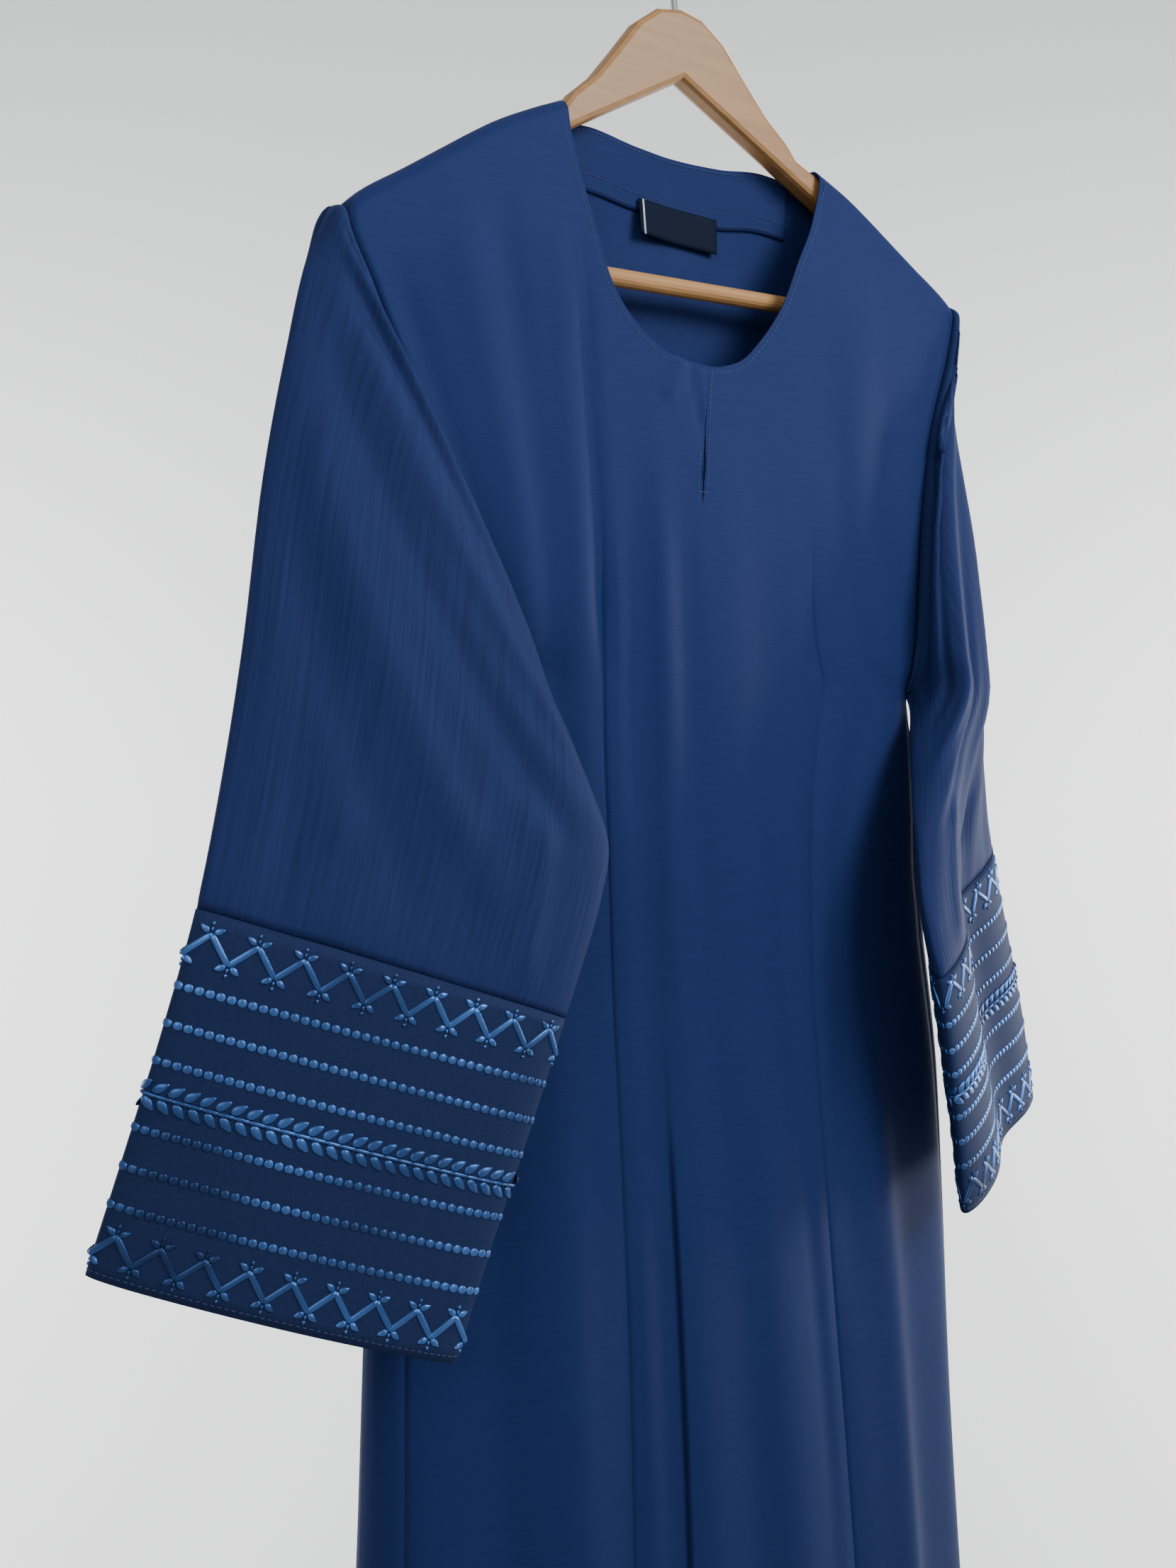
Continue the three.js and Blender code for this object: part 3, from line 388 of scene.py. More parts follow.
def back_grid():
    xs, tops = top_edge(BACK_NECK, 40)
    z = row_heights(tops, 12.0)
    side = np.where(xs < 0, -1.0, 1.0)
    share = np.abs(xs) / edge_at(xs, tops)
    grid = np.zeros(z.shape + (3,))
    level = z > UNDERARM_Z + 0.01
    wide = edge_at(np.broadcast_to(side[:, None], z.shape), z)
    grid[:] = back_point(side[:, None] * share[:, None] * wide, z)
    for row in range(z.shape[1]):
        height = z[0, row]
        if level[:, row].any():
            continue
        for way in (-1.0, 1.0):
            seam = float(front_angle(np.array(wide[np.argmax(side == way), row]), np.array(height)))
            angles = np.linspace(180, seam, 181)
            arc = body_point(way * angles, np.full(181, height))
            length = np.concatenate([[0], np.cumsum(np.linalg.norm(np.diff(arc, axis=0), axis=1))])
            chosen = side == way
            at = np.interp(share[chosen] * length[-1], length, angles)
            grid[chosen, row] = body_point(way * at, np.full(at.shape, height))
    upper = np.argmin(np.abs(z[0] - UNDERARM_ROW_Z))
    lower = np.argmin(np.abs(z[0] - UNDERARM_Z))
    for row in range(upper + 1, lower):
        part = (row - upper) / (lower - upper)
        grid[:, row] = grid[:, upper] * (1 - part) + grid[:, lower] * part
    return grid, xs, grid[..., 0].copy(), z


def grid_normals(grid, outward, closed=False):
    """Unit normals of a grid of points, on the outward side."""
    if closed:
        wide = np.concatenate([grid[-1:], grid, grid[:1]])
        along = np.gradient(wide, axis=0)[1:-1]
    else:
        along = np.gradient(grid, axis=0)
    down = np.gradient(grid, axis=1)
    normal = np.cross(along, down)
    normal /= np.maximum(np.linalg.norm(normal, axis=-1, keepdims=True), 1e-9)
    return normal * outward


def creased(x, z, creases):
    """Rise of soft creases at each place of a cloth, x across and z up."""
    rise = np.zeros(np.broadcast(x, z).shape)
    for x0, z0, x1, z1, spread, height in zip(*(creases[name] for name in CREASE_COLUMNS.split())):
        length = math.hypot(x1 - x0, z1 - z0)
        along = ((x - x0) * (x1 - x0) + (z - z0) * (z1 - z0)) / length
        off = ((x - x0) * (z1 - z0) - (z - z0) * (x1 - x0)) / length
        fade = ease((along / length + 0.12) / 0.3) * ease((1.12 - along / length) / 0.3)
        rise = rise + height * fade * np.exp(-((off / spread) ** 2))
    return rise


def lean_out(points, lean):
    """The right armhole, the side below it and the sleeve's top, moved to where they hang."""
    x, z = points[..., 0], points[..., 2]
    inner, edge, outer, far = (smooth_read(lean["z"], lean[name], z) for name in LEAN_COLUMNS.split()[1:])
    near = ease((x - LEAN_FROM_X) / (edge - LEAN_FROM_X))
    beyond = np.clip((x - edge) / (far - edge), 0, 1)
    moved = points.copy()
    moved[..., 0] += inner * near * (1 - beyond) + outer * beyond
    return moved


def drift(x, z, seed, size):
    """A slow uneven ripple, longer down the cloth than across it."""
    rng = np.random.default_rng(seed)
    total = np.zeros_like(z)
    for _ in range(7):
        across, down = rng.uniform(0.02, 0.075), rng.uniform(0.002, 0.012)
        total += np.sin(across * x + down * z + rng.uniform(0, 6.3)) / 7
    return total * size


def build_mesh(name, points, faces, lengths, thickness=CLOTH):
    """A named mesh from points in millimetres of the garment's own frame."""
    shifted = (np.asarray(points) + np.array([GARMENT_X, 0, 0])) * MM
    data = bpy.data.meshes.new(name)
    data.from_pydata(shifted.tolist(), [], [tuple(int(i) for i in face) for face in faces])
    data.update()
    layer = data.uv_layers.new(name="cloth")
    corner = np.zeros(len(data.loops), np.int32)
    data.loops.foreach_get("vertex_index", corner)
    layer.data.foreach_set("uv", (np.asarray(lengths)[corner] * MM).astype(np.float32).ravel())
    data.polygons.foreach_set("use_smooth", [True] * len(data.polygons))
    piece = bpy.data.objects.new(name, data)
    bpy.context.scene.collection.objects.link(piece)
    if thickness:
        wall = piece.modifiers.new("wall", "SOLIDIFY")
        wall.thickness = thickness * MM
        wall.offset = -1
    return piece


def sheet_mesh(name, grid, outward, closed=False, cut=None, flip=False, thickness=CLOTH):
    """A cloth sheet from a grid of points. A cut doubles one column down to a row, opened by half widths."""
    columns, rows = grid.shape[:2]
    middle = rows // 2
    across = np.concatenate([[0], np.cumsum(np.linalg.norm(np.diff(grid[:, middle], axis=0), axis=1))])
    down = np.concatenate([[0], np.cumsum(np.linalg.norm(np.diff(grid[columns // 2], axis=0), axis=1))])
    lengths = np.stack(np.broadcast_arrays(across[:, None], down[None, :]), -1).reshape(-1, 2)
    points = grid.reshape(-1, 3).copy()
    left = np.arange(columns * rows).reshape(columns, rows)
    right = left.copy()
    if cut:
        column, last, half = cut
        extra = points[left[column, :last]].copy()
        right[column, :last] = np.arange(len(points), len(points) + last)
        extra[:, 0] += half
        points[left[column, :last], 0] -= half
        points = np.concatenate([points, extra])
        lengths = np.concatenate([lengths, lengths[left[column, :last]]])
    faces = []
    for c in range(columns if closed else columns - 1):
        n = (c + 1) % columns
        for r in range(rows - 1):
            face = (right[c, r], right[c, r + 1], left[n, r + 1], left[n, r])
            faces.append(face[::-1] if flip else face)
    return build_mesh(name, points, faces, lengths, thickness)


def armhole_ring(side, turns):
    """Points round an armhole: from the shoulder down the front to the underarm and up the back."""
    tip = -SHOULDER_LEFT if side < 0 else SHOULDER_RIGHT
    top = float(shoulder_z(np.array(tip)))
    share = (1 - np.cos(turns)) / 2
    z = top - share * (top - UNDERARM_Z)
    edge = side * edge_at(np.full_like(z, side), z)
    on_front = turns <= math.pi
    front = body_point(front_angle(edge, z), z)
    behind = back_point(edge, np.maximum(z, UNDERARM_ROW_Z))
    low = np.array([side * UNDERARM_X, float(front_underarm(side)[1]), UNDERARM_Z])
    upper = back_point(np.array(side * UNDERARM_BACK_X), np.array(UNDERARM_ROW_Z))
    part = np.clip((UNDERARM_ROW_Z - z) / (UNDERARM_ROW_Z - UNDERARM_Z), 0, 1)[:, None]
    back = np.where(part > 0, upper * (1 - part) + low * part, behind)
    points = np.where(on_front[:, None], front, back)
    nearer = np.where(on_front[:, None], body_point(front_angle(edge * 0.97, z), z), back - [side * 4, 0, 0])
    away = points - nearer
    away /= np.linalg.norm(away, axis=1, keepdims=True)
    normal = np.stack([np.full_like(z, side * 0.35), np.where(on_front, -1.0, 1.0), np.zeros_like(z)], -1)
    flat = np.abs(np.sin(turns))[:, None]
    normal = normal * flat + np.array([side * 1.0, 0, 0]) * (1 - flat) * (share[:, None])
    return points, away, normal


def front_underarm(side):
    edge = np.array(side * UNDERARM_X)
    return body_point(front_angle(edge, np.array(UNDERARM_Z)), np.array(UNDERARM_Z))


def sleeve_grid(side, rows, turn_count=132, per_row=9):
    """Rings of a sleeve and cuff from the armhole to the hem, smooth along the sleeve."""
    turns = np.linspace(0, 2 * math.pi, turn_count, endpoint=False)
    start, away, normal = armhole_ring(side, turns)
    under = np.exp(-(((turns - math.pi) / 0.35) ** 2))[:, None]
    gap = ARMHOLE_GAP + (UNDERARM_GAP - ARMHOLE_GAP) * under
    rings = [start + away * gap, start + away * (COLLAR_ALONG / 2 + gap / 2) + normal * COLLAR_OUT * 0.8,
             start + away * COLLAR_ALONG + normal * COLLAR_OUT]
    share = (1 - np.cos(turns)) / 2
    on_front = turns < math.pi
    count = len(rows["ox"])
    outer = np.stack([rows["ox"], rows["oy"], rows["oz"]], -1)
    inner = np.stack([rows["ix"], rows["iy"], rows["iz"]], -1)
    for k in range(count):
        before, after = max(k - 1, 0), min(k + 1, count - 1)
        across = inner[k] - outer[k]
        along = outer[after] + inner[after] - outer[before] - inner[before]
        forward = np.cross(across, along)
        forward /= np.linalg.norm(forward)
        if forward[1] > 0:
            forward = -forward
        dip = rows["valley"][k] * np.exp(-(((share - rows["at"][k]) / VALLEY_SPREAD) ** 2))
        depth = np.where(on_front, rows["front"][k] - dip, rows["back"][k])
        lift = np.sin(turns) * depth
        rings.append(outer[k] + share[:, None] * across + lift[:, None] * forward)
    rings = np.array(rings)
    middle = rings.mean(1)
    length = np.concatenate([[0], np.cumsum(np.linalg.norm(np.diff(middle, axis=0), axis=1))])
    length = np.maximum.accumulate(length + np.arange(len(length)) * 1e-3)
    stations = [length[0], length[1], length[2]]
    for k in range(2, len(length) - 1):
        stations += list(np.linspace(length[k], length[k + 1], per_row + 1)[1:])
    fine = smooth_read(length, rings, np.array(stations))
    seam = int(np.argmin(np.abs(np.array(stations) - length[3 + CUFF_ROW])))
    return np.swapaxes(fine, 0, 1), np.array(stations), seam, share


def crease_sleeve(grid, normals, share, stations, seed):
    """Soft folds fanning from the shoulder on both faces of a sleeve, held back at its folds and armhole."""
    across = np.broadcast_to(share[:, None] * SLEEVE_WIDTH, grid.shape[:2])
    down = np.broadcast_to(-stations[None, :], grid.shape[:2])
    rise = creased(across, down, SLEEVE_CREASES)
    rise = rise + drift(across, down, seed, 1.2)
    flat = 1 - np.exp(-((np.abs(share - 0.5) - 0.5) / 0.06) ** 2)
    rise = rise * flat[:, None] * ease(-down / 12)
    return grid + normals * rise[..., None]


def new_material(name, colour, roughness, sheen=0.0, metallic=0.0, specular=0.4):
    made = bpy.data.materials.new(name)
    made.use_nodes = True
    shader = made.node_tree.nodes["Principled BSDF"]
    shader.inputs["Base Color"].default_value = colour
    shader.inputs["Roughness"].default_value = roughness
    shader.inputs["Metallic"].default_value = metallic
    shader.inputs["Specular IOR Level"].default_value = specular
    shader.inputs["Sheen Weight"].default_value = sheen
    shader.inputs["Sheen Roughness"].default_value = 0.5
    shader.inputs["Sheen Tint"].default_value = SHEEN_TINT
    if sheen:
        shader.inputs["Specular Tint"].default_value = SHEEN_TINT
    return made, shader


def stretched_noise(made, scale, detail=2.0, source="UV"):
    """A noise pattern in cloth lengths, with its own scale across and down."""
    nodes, links = made.node_tree.nodes, made.node_tree.links
    place = nodes.new("ShaderNodeTexCoord")
    stretch = nodes.new("ShaderNodeMapping")
    stretch.inputs["Scale"].default_value = scale
    pattern = nodes.new("ShaderNodeTexNoise")
    pattern.inputs["Scale"].default_value = 1.0
    pattern.inputs["Detail"].default_value = detail
    links.new(place.outputs[source], stretch.inputs["Vector"])
    links.new(stretch.outputs["Vector"], pattern.inputs["Vector"])
    return pattern.outputs["Fac"]


def add_bump(made, shader, heights, strength, distance):
    nodes, links = made.node_tree.nodes, made.node_tree.links
    normal = None
    for height, depth in zip(heights, distance):
        bump = nodes.new("ShaderNodeBump")
        bump.inputs["Strength"].default_value = strength
        bump.inputs["Distance"].default_value = depth
        links.new(height, bump.inputs["Height"])
        if normal is not None:
            links.new(normal, bump.inputs["Normal"])
        normal = bump.outputs["Normal"]
    links.new(normal, shader.inputs["Normal"])


def shade_between(made, shader, fac, low, high):
    nodes, links = made.node_tree.nodes, made.node_tree.links
    ramp = nodes.new("ShaderNodeValToRGB")
    ramp.color_ramp.elements[0].position, ramp.color_ramp.elements[0].color = 0.3, low
    ramp.color_ramp.elements[1].position, ramp.color_ramp.elements[1].color = 0.7, high
    links.new(fac, ramp.inputs["Fac"])
    links.new(ramp.outputs["Color"], shader.inputs["Base Color"])


def crepe(name, dark, light, roughness, pattern, depth, strength):
    """Crepe: slubs across it, or fine wavy crinkles down it, over a fine grain."""
    made, shader = new_material(name, light, roughness, sheen=0.03, specular=0.1)
    figure = stretched_noise(made, *pattern)
    grain = stretched_noise(made, (1500, 1500, 1500), 1, "Object")
    shade_between(made, shader, figure, dark, light)
    add_bump(made, shader, [figure, grain], strength, [depth, 0.10 * MM])
    return made


body_crepe = crepe("body_crepe", BODY_DARK, BODY_LIGHT, 0.6, ((60, 60, 900), 3, "Object"), 0.10 * MM, 0.5)
sleeve_crepe = crepe("sleeve_crepe", SLEEVE_DARK, SLEEVE_LIGHT, 0.62, ((430, 26, 1), 4), 0.5 * MM, 0.55)

cuff_cloth, cuff_shader = new_material("cuff_cloth", CUFF_LIGHT, 0.62, sheen=0.03, specular=0.1)
weave = stretched_noise(cuff_cloth, (1300, 1300, 1300), 1, "Object")
shade_between(cuff_cloth, cuff_shader, weave, CUFF_DARK, CUFF_LIGHT)
add_bump(cuff_cloth, cuff_shader, [weave], 0.5, [0.12 * MM])

thread, thread_shader = new_material("satin_thread", THREAD_IN_SHEEN, 0.33, metallic=0.75, specular=0.6)
thread_shader.inputs["Anisotropic"].default_value = 0.8
strands = stretched_noise(thread, (300, 2300, 1), 1)
# Painted sheen: slow noise patches blend the thread's colour between its painted-shade and painted-sheen
# tones
painted_sheen = stretched_noise(thread, (13, 13, 9), 1, "Object")
shade_between(thread, thread_shader, painted_sheen, THREAD_IN_SHADE, THREAD_IN_SHEEN)
add_bump(thread, thread_shader, [strands], 0.5, [0.15 * MM])
lie = thread.node_tree.nodes.new("ShaderNodeTangent")
lie.direction_type = "UV_MAP"
lie.uv_map = "cloth"
thread.node_tree.links.new(lie.outputs["Tangent"], thread_shader.inputs["Tangent"])

stitching, _ = new_material("stitching", STITCH_BLUE, 0.5)

label_satin, label_shader = new_material("label_satin", LABEL_NAVY, 0.7, specular=0.05)
label_weave = stretched_noise(label_satin, (300, 300, 2200), 1, "Object")
add_bump(label_satin, label_shader, [label_weave], 0.4, [0.06 * MM])
label_edge, _ = new_material("label_edge", LABEL_WHITE, 0.5)

wood, wood_shader = new_material("beech_varnished", WOOD_LIGHT, 0.42, specular=0.35)
rings = stretched_noise(wood, (10, 10, 190), 4, "Object")
fibre = stretched_noise(wood, (60, 60, 1500), 3, "Object")
shade_between(wood, wood_shader, rings, WOOD_DARK, WOOD_LIGHT)
add_bump(wood, wood_shader, [fibre], 0.3, [0.05 * MM])

bar_wood, bar_shader = new_material("bar_wood", BAR_LIGHT, 0.55, specular=0.25)
bar_rings = stretched_noise(bar_wood, (6, 500, 500), 4, "Object")
shade_between(bar_wood, bar_shader, bar_rings, BAR_DARK, BAR_LIGHT)

wire, _ = new_material("hook_wire", WIRE_GREY, 0.22, metallic=1.0)


def dress(piece, made, node=None):
    """Gives a piece its material, puts it on the root body and hides the CAD part it stands for."""
    piece.data.materials.clear()
    piece.data.materials.append(made)
    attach(piece, "root")
    if node:
        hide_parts(node)


def facing_way(normals, way, sample=...):
    """The normals, turned over if the sampled ones don't point to way: -1 is the front and 1 the back."""
    return normals if normals[sample][..., 1].mean() * way > 0 else -normals


EVEN_PASSES = 14


def evened(points, weight):
    """Points eased along each column, by weight, so no step is left between two rows of the table."""
    soft = points.copy()
    for _ in range(EVEN_PASSES):
        inner = (soft[:, :-2] + 2 * soft[:, 1:-1] + soft[:, 2:]) / 4
        soft[:, 1:-1] += (inner - soft[:, 1:-1]) * weight[:, 1:-1, None]
    moved = points.copy()
    moved[..., 1] = soft[..., 1]
    return moved


# Folds along a dart: distance inward from its line, half width and rise
DART_FOLDS = ((0, 0.8, -1.1), (0, 6, -1.2), (12, 9, 0.9))

# Front panel, with its two darts, slit and soft creases
front_points, front_xs, front_across, front_z = front_grid()
front_side = np.broadcast_to(np.sign(front_xs)[:, None], front_z.shape)
from_side = edge_at(front_side, front_z) - np.abs(front_across)
seam_side = ease(from_side / 30)
bust = ease((YOKE_Z - 10 - front_z) / 40) * ease((front_z + 600) / 60)
front_points = lean_out(evened(front_points, seam_side * bust), LEAN_BODY)
front_normals = facing_way(grid_normals(front_points, -1), -1)
settle = ease((shoulder_z(front_across) - front_z - 15) / 60)
edge_keep = ease(from_side / 12)
front_rise = creased(front_across, front_z, FRONT_CREASES) * settle * edge_keep
front_rise += drift(front_across, front_z, 3, 1.0) * settle * edge_keep
dart_line = body(front_z, "dart")
dart_depth = ease((DART_TOP_Z - front_z) / 60)
for way in (-1, 1):
    off = front_across - way * dart_line
    for inward, spread, height in DART_FOLDS:
        front_rise += height * dart_depth * np.exp(-(((off + way * inward) / spread) ** 2))
front_points = front_points + front_normals * front_rise[..., None]
slit_column = int(np.argmin(np.abs(front_xs)))
slit_rows = int(np.sum(front_z[slit_column] > SLIT_BOTTOM_Z))
slit_half = smooth_read(SLIT["z"], SLIT["half"], front_z[slit_column, :slit_rows])
front = sheet_mesh("abaya_front", front_points, -1, cut=(slit_column, slit_rows, slit_half))
dress(front, body_crepe, "front")

# Back panel
back_points, back_xs, back_across, back_z = back_grid()
back_points = lean_out(back_points, LEAN_BODY)
back_normals = facing_way(grid_normals(back_points, 1), 1, np.s_[:, : back_points.shape[1] // 2])
settle = ease((shoulder_z(np.clip(back_across, -200, 200)) - back_z - 45) / 60)
from_edge = np.minimum(np.arange(len(back_xs)), np.arange(len(back_xs))[::-1])
edge_keep = 1 - np.exp(-((from_edge / 3.0) ** 2))
back_rise = creased(back_across, back_z, BACK_CREASES) * settle * (back_points[..., 1] > 0)
back_rise += drift(back_across, back_z, 9, 1.0) * settle
back_points = back_points + back_normals * (back_rise * edge_keep[:, None])[..., None]
back = sheet_mesh("abaya_back", back_points, 1, flip=True)
dress(back, body_crepe, "back")


def make_sleeve(side, rows, word, seed):
    """A sleeve and its cuff. Gives back the cuff's points and their normals, for its embroidery."""
    grid, stations, seam, share = sleeve_grid(side, rows)
    if side > 0:
        grid = lean_out(grid, LEAN_SLEEVE)
    normals = grid_normals(grid, 1, closed=True)
    centre = grid.mean(0, keepdims=True)
    if ((grid - centre) * normals).sum(-1).mean() < 0:
        normals = -normals
    grid = crease_sleeve(grid, normals, share, stations, seed)
    upper, cuff = grid[:, : seam + 1].copy(), grid[:, seam:].copy()
    upper[:, -1] -= normals[:, seam] * 0.5
    upper[:, -2] -= normals[:, seam - 1] * 0.1
    sleeve = sheet_mesh(f"sleeve_{word}_cloth", upper, 1, closed=True, flip=side > 0)
    dress(sleeve, sleeve_crepe, f"sleeve_{word}")
    band = sheet_mesh(f"cuff_{word}_cloth", cuff, 1, closed=True, flip=side > 0)
    dress(band, cuff_cloth, f"cuff_{word}")
    return cuff, normals[:, seam:]


cuff_left = make_sleeve(-1, LEFT_SLEEVE, "left", 21)
cuff_right = make_sleeve(1, RIGHT_SLEEVE, "right", 22)


class CuffFace:
    """Places on a cuff by length round it and share of its height, with the directions there."""

    def __init__(self, grid, normals):
        self.grid, self.normals = grid, normals
        closed = np.concatenate([grid, grid[:1]])
        steps = np.linalg.norm(np.diff(closed, axis=0), axis=2)
        self.round = np.concatenate([np.zeros((1, grid.shape[1])), np.cumsum(steps, 0)])
        down = np.linalg.norm(np.diff(grid, axis=1), axis=2).mean(0)
        self.down = np.concatenate([[0], np.cumsum(down)])
        self.height = self.down[-1]
        self.girth = self.round[-1].mean()

    def place(self, share_round, share_down):
        at = np.clip(share_down, 0, 1) * self.height
        row = int(np.clip(np.searchsorted(self.down, at) - 1, 0, len(self.down) - 2))
        part = (at - self.down[row]) / (self.down[row + 1] - self.down[row])
        found = []
        for r in (row, row + 1):
            length = self.round[:, r]
            want = (share_round % 1.0) * length[-1]
            c = int(np.clip(np.searchsorted(length, want) - 1, 0, len(length) - 2))
            t = (want - length[c]) / max(length[c + 1] - length[c], 1e-9)
            n = (c + 1) % len(self.grid)
            found.append((self.grid[c, r] * (1 - t) + self.grid[n, r] * t,
                          self.normals[c, r] * (1 - t) + self.normals[n, r] * t,
                          self.grid[n, r] - self.grid[c, r]))
        point = found[0][0] * (1 - part) + found[1][0] * part
        normal = found[0][1] * (1 - part) + found[1][1] * part
        normal /= np.linalg.norm(normal)
        across = found[0][2] * (1 - part) + found[1][2] * part
        across -= normal * (across @ normal)
        across /= np.linalg.norm(across)
        return point, normal, across, np.cross(normal, across)


# A raised group of stitches: rings of a dome, as share of its half length and width, and share of its height
DOME_RINGS = ((1.0, -0.2), (0.94, 0.55), (0.74, 0.9))
STITCH_RINGS = ((1.0, -0.3), (0.75, 0.6))


def dome(point, normal, along, across, half_length, half_width, height, form, sides=12, rings=DOME_RINGS):
    """Vertices and faces of one leaf, dot, bar or stitch lying on the cloth."""
    vertices, lengths, faces = [], [], []
    for scale, level in rings:
        for k in range(sides):
            turn = 2 * math.pi * k / sides
            reach, width = math.cos(turn), math.sin(turn)
            if form == "leaf":
                width *= (1 - 0.35 * reach) * abs(math.sin(turn)) ** 0.35
            if form == "bar":
                reach = math.copysign(abs(reach) ** 0.4, reach)
                width = math.copysign(abs(width) ** 0.6, width)
            a, b = reach * half_length * scale, width * half_width * scale
            vertices.append(point + along * a + across * b + normal * height * level)
            lengths.append((b, a))
    vertices.append(point + normal * height)
    lengths.append((0, 0))
    top = len(vertices) - 1
    for ring in range(len(rings) - 1):
        for k in range(sides):
            n = (k + 1) % sides
            a, b = ring * sides + k, ring * sides + n
            faces.append((a, b, b + sides, a + sides))
    last = (len(rings) - 1) * sides
    for k in range(sides):
        faces.append((last + k, last + (k + 1) % sides, top))
    return vertices, lengths, faces


class Needlework:
    """Collects raised stitches and makes one piece of them."""

    def __init__(self):
        self.vertices, self.lengths, self.faces = [], [], []

    def add(self, made):
        base = len(self.vertices)
        self.vertices.extend(made[0])
        self.lengths.extend(made[1])
        self.faces.extend([tuple(i + base for i in one) for one in made[2]])

    def piece(self, name, made, slot):
        done = build_mesh(name, self.vertices, self.faces, self.lengths, thickness=0)
        dress(done, made)


# Pattern of a cuff: shares of its height from the seam, and counts all round
DOT_ROWS = (0.201, 0.306, 0.407, 0.589, 0.695, 0.80)
ZIGZAG_ROWS = (0.083, 0.908)
VINE_ROW = 0.496
ZIGZAG_PERIODS = 18
ZIGZAG_HALF = 0.033
DOTS_ROUND = 78
LEAVES_ROUND = 52
CUFF_STITCH_ROW = 0.982
CUFF_STITCHES = 110

# Its stitched forms, each by half length, half width and height, a leaf with the gap before it too
DOT = (2.2, 1.9, 0.6)
ZIGZAG_OVERLAP, ZIGZAG_BAR = 0.7, (1.45, 0.8)
SPRIG_TURN = 1.05
SPRIG_LEAF, SPRIG_STALK, SPRIG_TIP = (0.9, 2.7, 1.4, 0.8), (1.2, 1.0, 0.6, 0.8), (3.5, 0.9, 0.75, 0.8)
VINE_OVERLAP, VINE_BAR = 0.5, (0.75, 0.9)
VINE_TURN = 0.66
VINE_LEAF = (0.6, 4.1, 2.0, 0.85)
CUFF_STITCH = (1.1, 0.25, 0.3)


def embroider(name, face, tips):
    """Zigzags with leaf sprigs, rows of dots and a leafy stem, all round a cuff. tips is the leaves' way."""
    work, seam_work = Needlework(), Needlework()
    _, _, _, cuff_down = face.place(0.25, 0.5)
    down_sign = 1.0 if cuff_down[2] < 0 else -1.0

    def add(share_round, share_down, turn, half_length, half_width, height, form, into=work, **more):
        point, normal, across, down = face.place(share_round, share_down)
        down = down * down_sign
        along = across * math.cos(turn) + down * math.sin(turn)
        side = np.cross(normal, along)
        into.add(dome(point, normal, along, side, half_length, half_width, height, form, **more))

    def leaf(start, turn, gap, half_length, half_width, height):
        """A leaf that points away from a place, at a turn from the cuff's round towards its hem."""
        reach = gap + half_length
        across, down = math.cos(turn) * reach / face.girth, math.sin(turn) * reach / face.height
        add(start[0] + across, start[1] + down, turn, half_length, half_width, height, "leaf")

    for row in DOT_ROWS:
        for k in range(DOTS_ROUND):
            add((k + 0.5) / DOTS_ROUND, row, 0.0, *DOT, "dot")
    for row in ZIGZAG_ROWS:
        for k in range(ZIGZAG_PERIODS * 2):
            peak = -1 if k % 2 else 1
            start = (k / (ZIGZAG_PERIODS * 2), row + peak * ZIGZAG_HALF)
            end = ((k + 1) / (ZIGZAG_PERIODS * 2), row - peak * ZIGZAG_HALF)
            wide, tall = (end[0] - start[0]) * face.girth, (end[1] - start[1]) * face.height
            middle = ((start[0] + end[0]) / 2, (start[1] + end[1]) / 2)
            half_length = math.hypot(wide, tall) / 2 + ZIGZAG_OVERLAP
            add(*middle, math.atan2(tall, wide), half_length, *ZIGZAG_BAR, "bar")
            out = peak * math.pi / 2
            leaf(start, out - SPRIG_TURN, *SPRIG_LEAF)
            leaf(start, out + SPRIG_TURN, *SPRIG_LEAF)
            leaf(start, out, *SPRIG_STALK)
            leaf(start, out, *SPRIG_TIP)
    for k in range(LEAVES_ROUND):
        step = face.girth / LEAVES_ROUND
        add((k + 0.5) / LEAVES_ROUND, VINE_ROW, 0.0, step / 2 + VINE_OVERLAP, *VINE_BAR, "bar")
        for side in (-1, 1):
            place = ((k + (0.1 if side > 0 else 0.6)) / LEAVES_ROUND, VINE_ROW + side * 0.9 / face.height)
            turn = side * VINE_TURN if tips > 0 else math.pi - side * VINE_TURN
            leaf(place, turn, *VINE_LEAF)
    for k in range(CUFF_STITCHES):
        add(k / CUFF_STITCHES, CUFF_STITCH_ROW, 0.0, *CUFF_STITCH, "bar", into=seam_work, sides=6,
            rings=STITCH_RINGS)
    seam_work.piece(name + "_hem_stitches", stitching, "cuff_cloth")
    work.piece(name, thread, "cuff_cloth")


embroider("cuff_left_embroidery", CuffFace(*cuff_left), 1)
embroider("cuff_right_embroidery", CuffFace(*cuff_right), -1)


def on_cloth(points, normals, places):
    """Places on a cloth nearest to given x and z, and the cloth's normal there."""
    flat, ways = points.reshape(-1, 3), normals.reshape(-1, 3)
    found, facing = [], []
    for x, z in places:
        nearest = int(np.argmin((flat[:, 0] - x) ** 2 + (flat[:, 2] - z) ** 2))
        p, n = flat[nearest], ways[nearest]
        y = p[1] - (n[0] * (x - p[0]) + n[2] * (z - p[2])) / n[1]
        found.append((x, y, z))
        facing.append(n)
    return np.array(found), np.array(facing)


